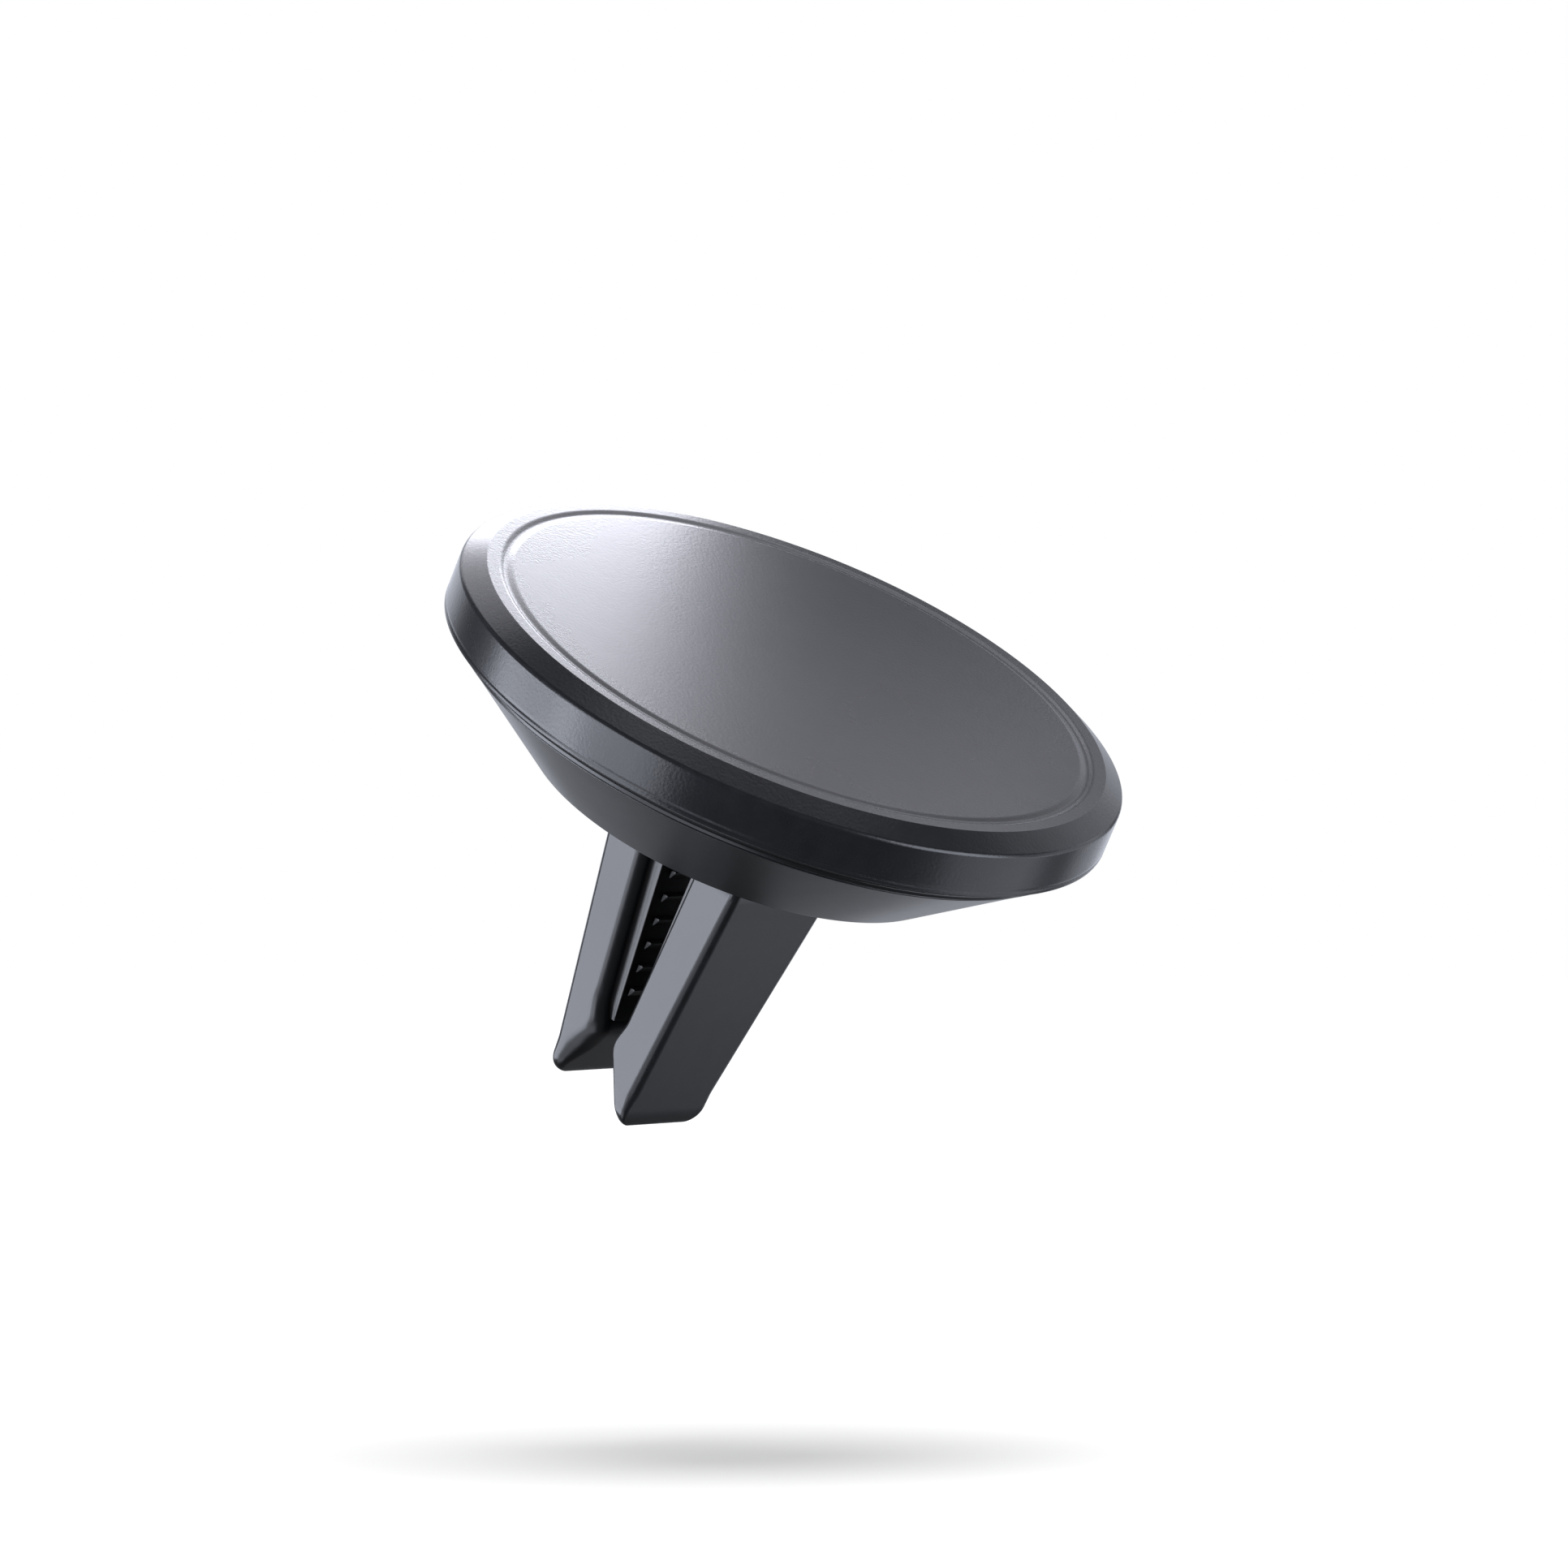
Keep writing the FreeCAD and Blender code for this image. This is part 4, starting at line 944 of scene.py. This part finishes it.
@dataclass(frozen=True)
class Section:
    """A level cut through a jaw, as it is on the +X side, in millimetres."""

    inner: float
    outer: float
    half_along: float
    soft_round: float
    crisp_round: float
    outer_round: float
    arc: int = 10

    def ring(self, sign: float, depth: float) -> list[tuple[Vector, float]]:
        """Lays the section's rounded outline out as points.

        Args:
            sign: 1 for the +X side, -1 for the other, where the soft and crisp corners change places.
            depth: the cut's depth behind the face.

        Returns:
            Each point in metres, with its edge value.
        """
        spots: list[tuple[Vector, float]] = []
        far, near = self.soft_round, self.crisp_round
        if sign < 0:
            far, near = near, far
        corners = (
            (self.outer, self.half_along, self.outer_round, 1, 1, 0),
            (self.inner, self.half_along, far, -1, 1, 90),
            (self.inner, -self.half_along, near, -1, -1, 180),
            (self.outer, -self.half_along, self.outer_round, 1, -1, 270),
        )
        for across, along, radius, out, away, start in corners:
            middle = (across - out * radius, along - away * radius)
            for part in range(self.arc + 1):
                angle = math.radians(start + 90.0 * part / self.arc)
                worn = math.sin(math.pi * part / self.arc) if out > 0 else 0.0
                reach = middle[0] + radius * math.cos(angle)
                spots.append((place(sign * reach, middle[1] + radius * math.sin(angle), depth), worn))
        return spots


SOFT_SHARE, CRISP_SHARE, OUTER_SHARE = 0.62, 0.5, 0.3  # the most of a jaw's thickness that each rounding may take
BARB_CROWN = ((0.92, 0.10), (1.0, 0.17), (0.9, 0.27))  # share of a ridge's height, and millimetres below its top


@dataclass
class VentClip:
    """The clip: base, ball stud, two sprung jaws and their ridged grip pads. Sizes in millimetres.

    Both jaws are one moulding, turned half round: each has one soft inner edge and one crisp one.
    """

    wardrobe: Wardrobe
    stem_top: float = 14.6
    tip: float = 40.2
    jaw_top: float = 16.35
    outer_top: float = 8.17
    outer_tip: float = 4.57
    side_top: float = 5.87
    side_tip: float = 4.59
    tip_corner: float = 1.7
    tip_tuck: float = 0.35
    tip_edge: float = 0.12
    top_ease: float = 0.25
    top_tuck: float = 0.8
    slot_top: float = 2.97
    slot_corners: tuple[Corner, ...] = (
        Corner(1.58, 32.1, 3.0),
        Corner(0.95, 33.9, 2.0),
        Corner(0.95, 34.7, 1.8),
        Corner(3.75, 39.7, 0.8),
    )
    slot_end: float = 4.05
    inner_round: float = 1.15
    mouth_round: float = 1.8
    mouth_top: float = 31.0
    mouth_bottom: float = 36.0
    crisp_round: float = 0.5
    outer_round: float = 0.8
    top_cuts: int = 4
    top_cut_growth: float = 0.02
    cut_pitch: float = 0.35
    tip_cuts: int = 24
    pad_top: float = 18.1
    pad_bottom: float = 33.4
    pad_face_top: float = 1.63
    pad_face_bottom: float = 0.72
    pad_inset: float = 1.35
    pad_fillet: float = 0.55
    pad_fillet_share: float = 0.6
    pad_root: float = 0.05
    pad_inside: float = 0.3
    pad_edge: float = 0.12
    pad_cuts: int = 40
    ridge_first: float = 20.1
    ridge_pitch: float = 2.12
    ridge_count: int = 6
    ridge_height: float = 0.38
    ridge_foot: float = 0.8
    ridge_half: float = 3.05
    ridge_end: float = 0.14
    ridge_end_lift: float = 0.05
    base_ease: float = 0.3

    def build(self) -> None:
        """Builds and dresses the clip."""
        for side in Side:
            self.jaw(side)
            self.pad(side)
            self.wardrobe.dress_node(f"spring_leaf_{side.word}", Finish.SPRING_STEEL)
        self.base()
        self.wardrobe.dress_node("ball_stud", Finish.STUD)
        self.wardrobe.dress_node("stud_screw", Finish.STEEL)

    def base(self) -> None:
        """Builds the clip's base between the jaw roots, with its edges eased."""
        piece = softened("clip_base", "eased_base", self.base_ease)
        self.wardrobe.dress(piece, Finish.CLIP, "clip_plastic")
        seat(piece, "clip", "clip_base")

    def outer(self, depth: float) -> float:
        """Returns the clip's half size across the jaws at a depth."""
        return blend(depth, self.stem_top, self.tip, self.outer_top, self.outer_tip)

    def along(self, depth: float) -> float:
        """Returns the clip's half size along the blade at a depth."""
        return blend(depth, self.stem_top, self.tip, self.side_top, self.side_tip)

    def inner_line(self) -> Callable[[float], float]:
        """Returns the jaw's soft inner line: tapering slot, hump and flared lead-in."""
        return soft_chain([
            Corner(self.slot_top, self.jaw_top), *self.slot_corners, Corner(self.slot_end, self.tip)
        ])

    def jaw_depths(self) -> list[float]:
        """Works out where a jaw is cut: close together at its top and round its tip's corner.

        Returns:
            The depths, in order.
        """
        corner_top = self.tip - self.tip_corner
        near_top = [self.jaw_top + self.top_cut_growth * step * step for step in range(self.top_cuts)]
        steps = math.ceil((corner_top - self.jaw_top) / self.cut_pitch)
        straight = [self.jaw_top + self.cut_pitch + self.cut_pitch * step for step in range(1, steps)]
        turns = [math.radians(90.0 * step / self.tip_cuts) for step in range(self.tip_cuts)]
        corner = [self.tip - self.tip_corner * (1 - math.sin(turn)) for turn in turns]
        return near_top + [depth for depth in straight if depth < corner_top] + corner + [self.tip]

    def jaw_section(self, depth: float, inner: float) -> Section:
        """Works out a jaw's level cut, tucked in at its top and round its tip.

        Args:
            depth: the cut's depth behind the face.
            inner: the jaw's inner side there.

        Returns:
            The cut.
        """
        ease = self.top_tuck * max(0.0, self.top_ease - (depth - self.jaw_top))
        share = max(0.0, depth - (self.tip - self.tip_corner)) / self.tip_corner
        tuck = 1 - math.sqrt(max(0.0, 1 - share**2))
        along = self.along(depth) - self.tip_corner * tuck - ease
        outer = max(self.outer(depth) - self.tip_tuck * tuck - ease, inner + self.tip_edge)
        thick = outer - inner
        soft = blend(depth, self.mouth_top, self.mouth_bottom, self.inner_round, self.mouth_round)
        return Section(
            inner, outer, along,
            soft_round=min(soft, SOFT_SHARE * thick),
            crisp_round=min(self.crisp_round, CRISP_SHARE * thick),
            outer_round=min(self.outer_round, OUTER_SHARE * thick),
        )

    def jaw(self, side: Side) -> None:
        """Builds one jaw as a stack of level cuts.

        Args:
            side: the jaw's side.
        """
        inner_at = self.inner_line()
        maker = ShapeMaker(f"clip_jaw_{side.word}")
        maker.lofted([
            self.jaw_section(depth, inner_at(depth)).ring(side.sign, depth) for depth in self.jaw_depths()
        ])
        piece = maker.done()
        self.wardrobe.dress(piece, Finish.CLIP, "clip_plastic")
        seat(piece, f"jaw_{side.word}", f"jaw_{side.word}")

    def pad(self, side: Side) -> None:
        """Builds one grip pad: a plate that flares into the jaw, with barbed ridges across its face.

        Args:
            side: the side of the jaw that it sits on.
        """
        inner_at = self.inner_line()
        maker = ShapeMaker(f"ridged_pad_{side.word}")
        sections = []
        for cut in range(self.pad_cuts + 1):
            depth = blend(cut, 0, self.pad_cuts, self.pad_top, self.pad_bottom)
            sections.append(self.pad_ring(side.sign, depth, inner_at(depth) + self.pad_root))
        maker.lofted(sections)
        for number in range(self.ridge_count):
            self.ridge(maker, side.sign, self.ridge_first + number * self.ridge_pitch)
        piece = maker.done()
        self.wardrobe.dress(piece, Finish.RUBBER, "pad_rubber")
        seat(piece, f"jaw_{side.word}", f"grip_pad_{side.word}")

    def pad_face(self, depth: float) -> float:
        """Returns how far the pad's gripping face is from the clip's middle at a depth."""
        return blend(depth, self.pad_top, self.pad_bottom, self.pad_face_top, self.pad_face_bottom)

    def pad_ring(self, sign: float, depth: float, back: float) -> list[tuple[Vector, float]]:
        """Lays out a level cut through a pad, flared where it meets the jaw.

        Args:
            sign: 1 for the +X side, -1 for the other.
            depth: the cut's depth behind the face.
            back: the pad's back, at the jaw.

        Returns:
            Each point in metres, with its edge value.
        """
        face, half, edge = self.pad_face(depth), self.along(depth) - self.pad_inset, self.pad_edge
        flare = min(self.pad_fillet, self.pad_fillet_share * (back - face))
        path = [(back + self.pad_inside, half)]
        for step in range(9):
            angle = math.radians(90.0 * step / 8)
            path.append((back - flare * (1 - math.cos(angle)), half + flare * (1 - math.sin(angle))))
        for step in range(5):
            angle = math.radians(90.0 * step / 4)
            path.append((face + edge * (1 - math.sin(angle)), half - edge * (1 - math.cos(angle))))
        whole = path + [(across, -along) for across, along in reversed(path)]
        return [(place(sign * across, along, depth), 0.0) for across, along in whole]

    def ridge(self, maker: ShapeMaker, sign: float, depth: float) -> None:
        """Adds one barbed ridge: a steep side towards the head and a long slope towards the tip.

        Args:
            maker: the pad's shape.
            sign: 1 for the +X side, -1 for the other.
            depth: the ridge's middle, behind the face.
        """
        top, bottom = depth - self.ridge_foot / 2, depth + self.ridge_foot / 2
        half, sunk = self.ridge_half, -self.pad_inside
        crown = [(self.ridge_height * share, top + below) for share, below in BARB_CROWN]
        profile = [(sunk, top), (0.0, top), *crown, (0.0, bottom), (sunk, bottom)]
        sections = []
        for along in (-half, -half + self.ridge_end, half - self.ridge_end, half):
            share = self.ridge_end_lift if abs(along) == half else 1.0
            spots = [(self.pad_face(level) - lift * share, level) for lift, level in profile]
            sections.append([(place(sign * across, along, level), 0.0) for across, level in spots])
        maker.lofted(sections)


# ---------------------------------------------------------------- studio


@dataclass(frozen=True)
class Station:
    """Where the camera stands, in degrees and millimetres."""

    azimuth: float = 39.4292
    elevation: float = 21.0641
    roll: float = 22.2978
    distance: float = 621.492
    aim: tuple[float, float, float] = (3.8351, -0.6503, -8.7483)
    lens: float = 180.597
    sensor: float = 36.0

    def axes(self) -> tuple[Vector, Vector, Vector]:
        """Works out how the camera is turned.

        Returns:
            Its right, up and forward directions.
        """
        forward = -direction(self.azimuth, self.elevation)
        level = forward.cross(Vector((0, 0, 1))).normalized()
        upright = level.cross(forward)
        roll = math.radians(self.roll)
        right = level * math.cos(roll) + upright * math.sin(roll)
        return right, right.cross(forward), forward


def direction(azimuth: float, elevation: float) -> Vector:
    """Returns the unit direction from the mount: azimuth 0 is -Y and 90 is +X, in degrees."""
    turn, rise = math.radians(azimuth), math.radians(elevation)
    return Vector((math.sin(turn) * math.cos(rise), -math.cos(turn) * math.cos(rise), math.sin(rise)))


def facing(back: Vector, up: Vector) -> Matrix:
    """Returns the rotation whose -Z looks against back and whose Y is near up."""
    across = up.cross(back).normalized()
    return Matrix((across, back.cross(across), back)).transposed()


LOW = (0.955, 1.0, 1.13)  # colour of the lights round the sides and below
FACE = (0.98, 0.99, 1.09)  # colour of the lights that show on the flat face
MIDDLE = Vector((0, 0, -0.008))  # the head's middle, which the floor and its lamp are set out from


@dataclass(frozen=True)
class Softbox:
    """A square soft studio light: where it stands round the mount, its size in metres and its radiance."""

    name: str
    azimuth: float
    elevation: float
    distance: float
    size: float
    radiance: float
    colour: tuple[float, float, float]
    aim_height: float = -0.004

    def place(self, lit: bpy.types.Collection) -> None:
        """Sets up the light.

        Args:
            lit: the objects that it lights.
        """
        lamp = bpy.data.lights.new(self.name, "AREA")
        lamp.shape = "SQUARE"
        lamp.size = self.size
        lamp.energy = self.radiance * math.pi * self.size**2
        lamp.color = self.colour
        holder = bpy.data.objects.new(self.name, lamp)
        away = direction(self.azimuth, self.elevation)
        rotation = facing(away, Vector((0, 0, 1))).to_4x4()
        holder.matrix_world = Matrix.Translation(Vector((0, 0, self.aim_height)) + away * self.distance) @ rotation
        holder.visible_camera = False
        bpy.context.scene.collection.objects.link(holder)
        holder.light_linking.receiver_collection = lit


@dataclass
class Studio:
    """Camera, soft lights, pale surroundings and the floor under the mount. Sizes in metres, angles in degrees.

    The lights shine on the mount only, and the shadow lamp on the floor only. The light flag is a hidden sheet that
    holds the low lights off the head.
    """

    station: Station = field(default_factory=Station)
    boxes: tuple[Softbox, ...] = (
        Softbox("front", -7.0, -11.0, 0.45, 0.32, 3.9, LOW),
        Softbox("front_low", -40.0, -35.0, 0.45, 0.32, 6.2, LOW),
        Softbox("under_front", 13.0, -54.0, 0.45, 0.32, 1.6, LOW),
        Softbox("right", 110.0, 20.0, 0.45, 0.32, 4.3, LOW),
        Softbox("right_low", 130.0, -16.0, 0.45, 0.32, 1.1, LOW),
        Softbox("rear", 163.0, 7.0, 0.45, 0.32, 0.7, LOW),
        Softbox("rear_high", -165.0, 30.0, 0.45, 0.32, 0.65, FACE),
        Softbox("top", -132.0, 62.0, 0.45, 0.32, 1.15, FACE),
        Softbox("rear_left", -145.0, -7.0, 0.45, 0.32, 0.7, LOW),
        Softbox("under_rear", -130.0, -35.0, 0.45, 0.40, 0.36, LOW),
        Softbox("left_low", -112.0, -21.0, 0.45, 0.26, 0.9, LOW),
        Softbox("rear_low", -172.0, -26.0, 0.45, 0.26, 0.7, LOW),
        Softbox("sheen_small", -120.0, 5.0, 0.08, 0.028, 6.5, FACE, 0.0),
        Softbox("sheen_middle", -120.0, 5.0, 0.14, 0.049, 4.0, FACE, 0.0),
        Softbox("sheen_wide", -112.0, 20.0, 0.14, 0.112, 1.6, FACE, 0.0),
        Softbox("sheen_left", -118.0, 21.0, 0.09, 0.05, 0.9, FACE, 0.0),
        Softbox("sheen_high", -141.0, 36.0, 0.09, 0.05, 0.6, FACE, 0.0),
    )
    ambient: float = 0.11
    floor_tilt: float = 0.0
    flag_tilt: float = 4.2
    floor_drop: float = 0.0556
    floor_size: float = 3.0
    floor_white: float = 0.8
    floor_glow: float = 0.54
    shadow_spread: float = 44.0
    shadow_strength: float = 2.2
    shadow_lean: float = 0.09
    shadow_distance: float = 0.6

    def build(self) -> None:
        """Sets up the camera, world, floor and lights."""
        self.camera()
        self.world()
        mount = self.linked("mount_pieces", [*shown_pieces()])
        floor = self.plane("floor", self.floor_tilt)
        floor.data.materials.append(self.floor_material())
        floor.visible_shadow = False
        flag = self.plane("light_flag", self.flag_tilt)
        flag.visible_camera = False
        for box in self.boxes:
            box.place(mount)
        self.shadow_lamp(self.linked("floor_only", [floor]), mount)

    def linked(self, name: str, members: Sequence[bpy.types.Object]) -> bpy.types.Collection:
        """Makes a collection for light linking, outside the scene's own tree.

        Args:
            name: the collection's name.
            members: the objects in it.

        Returns:
            The collection.
        """
        made = bpy.data.collections.new(name)
        for member in members:
            made.objects.link(member)
        return made

    def camera(self) -> None:
        """Sets up the camera at its station."""
        station = self.station
        lens = bpy.data.cameras.new("view")
        lens.lens, lens.sensor_width, lens.sensor_fit = station.lens, station.sensor, "HORIZONTAL"
        lens.clip_start, lens.clip_end = 0.01, 20.0
        holder = bpy.data.objects.new("view", lens)
        right, up, forward = station.axes()
        rotation = Matrix((right, up, -forward)).transposed().to_4x4()
        spot = Vector(station.aim) * MM - forward * station.distance * MM
        holder.matrix_world = Matrix.Translation(spot) @ rotation
        bpy.context.scene.collection.objects.link(holder)
        bpy.context.scene.camera = holder

    def world(self) -> None:
        """Makes the surroundings: white to the eye, and a dim grey to the pieces."""
        world = bpy.data.worlds.new("pale_room")
        bpy.context.scene.world = world
        world.use_nodes = True
        world.node_tree.nodes.clear()
        nodes = Nodes(world.node_tree)
        dim = nodes.add("Background", in_Color=opaque(0.95, 0.97, 1.0), in_Strength=self.ambient)
        bright = nodes.add("Background", in_Color=opaque(1.0, 1.0, 1.0), in_Strength=1.0)
        seen = nodes.add("LightPath").outputs["Is Camera Ray"]
        mixed = nodes.add("MixShader", in_Fac=seen)
        nodes.tree.links.new(dim.outputs[0], mixed.inputs[1])
        nodes.tree.links.new(bright.outputs[0], mixed.inputs[2])
        end = nodes.add("OutputWorld")
        nodes.tree.links.new(mixed.outputs[0], end.inputs["Surface"])
        bpy.context.scene.view_settings.view_transform = "Standard"

    def plane_normal(self, tilt: float) -> Vector:
        """Works out which way a sheet faces that looks level in the view.

        Args:
            tilt: how far it tilts towards the camera, in degrees.

        Returns:
            Its upward direction.
        """
        _, up, forward = self.station.axes()
        turn = math.radians(tilt)
        return (up * math.cos(turn) - forward * math.sin(turn)).normalized()

    def plane(self, name: str, tilt: float) -> bpy.types.Object:
        """Lays a plain flat sheet under the mount, which the mount doesn't reflect.

        Args:
            name: the sheet's name.
            tilt: how far it tilts towards the camera, in degrees.

        Returns:
            The sheet's object.
        """
        shape = bmesh.new()
        bmesh.ops.create_grid(shape, x_segments=1, y_segments=1, size=self.floor_size / 2)
        mesh = bpy.data.meshes.new(name)
        shape.to_mesh(mesh)
        shape.free()
        sheet = bpy.data.objects.new(name, mesh)
        normal = self.plane_normal(tilt)
        _, _, forward = self.station.axes()
        centre = MIDDLE - normal * self.floor_drop
        sheet.matrix_world = Matrix.Translation(centre) @ facing(normal, forward).to_4x4()
        sheet.visible_glossy = False
        sheet.visible_diffuse = False
        bpy.context.scene.collection.objects.link(sheet)
        sheet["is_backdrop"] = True
        return sheet

    def floor_material(self) -> bpy.types.Material:
        """Makes the floor's pale matt material, which is clear from below.

        Returns:
            The material.
        """
        made, nodes, shader = new_material("pale_floor")
        shader.inputs["Base Color"].default_value = opaque(*[self.floor_white] * 3)
        shader.inputs["Roughness"].default_value = 1.0
        shader.inputs["Specular IOR Level"].default_value = 0.0
        shader.inputs["Emission Color"].default_value = opaque(1.0, 1.0, 1.0)
        shader.inputs["Emission Strength"].default_value = self.floor_glow
        clear = nodes.add("BsdfTransparent")
        under = nodes.add("NewGeometry").outputs["Backfacing"]
        mixed = nodes.add("MixShader", in_Fac=under)
        nodes.tree.links.new(shader.outputs[0], mixed.inputs[1])
        nodes.tree.links.new(clear.outputs[0], mixed.inputs[2])
        end = next(node for node in nodes.tree.nodes if node.type == "OUTPUT_MATERIAL")
        nodes.tree.links.new(mixed.outputs[0], end.inputs["Surface"])
        return made

    def shadow_lamp(self, lit: bpy.types.Collection, shading: bpy.types.Collection) -> None:
        """Hangs the lamp that draws the mount's soft shadow on the floor.

        Args:
            lit: what the lamp lights.
            shading: what throws a shadow in its light.
        """
        lamp = bpy.data.lights.new("shadow_lamp", "SUN")
        lamp.angle = math.radians(self.shadow_spread)
        lamp.energy = self.shadow_strength
        holder = bpy.data.objects.new("shadow_lamp", lamp)
        right, _, _ = self.station.axes()
        away = (self.plane_normal(self.floor_tilt) + right * self.shadow_lean).normalized()
        spot = MIDDLE + away * self.shadow_distance
        holder.matrix_world = Matrix.Translation(spot) @ facing(away, Vector((0, 1, 0))).to_4x4()
        holder.visible_camera = False
        bpy.context.scene.collection.objects.link(holder)
        holder.light_linking.receiver_collection = lit
        holder.light_linking.blocker_collection = shading


# ---------------------------------------------------------------- making


def main() -> None:
    logging.basicConfig(level=logging.INFO, format="%(name)s: %(message)s")
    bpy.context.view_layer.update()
    wardrobe = Wardrobe()
    MagneticHead(wardrobe).build()
    VentClip(wardrobe).build()
    Studio().build()


if __name__ == "__main__":
    main()
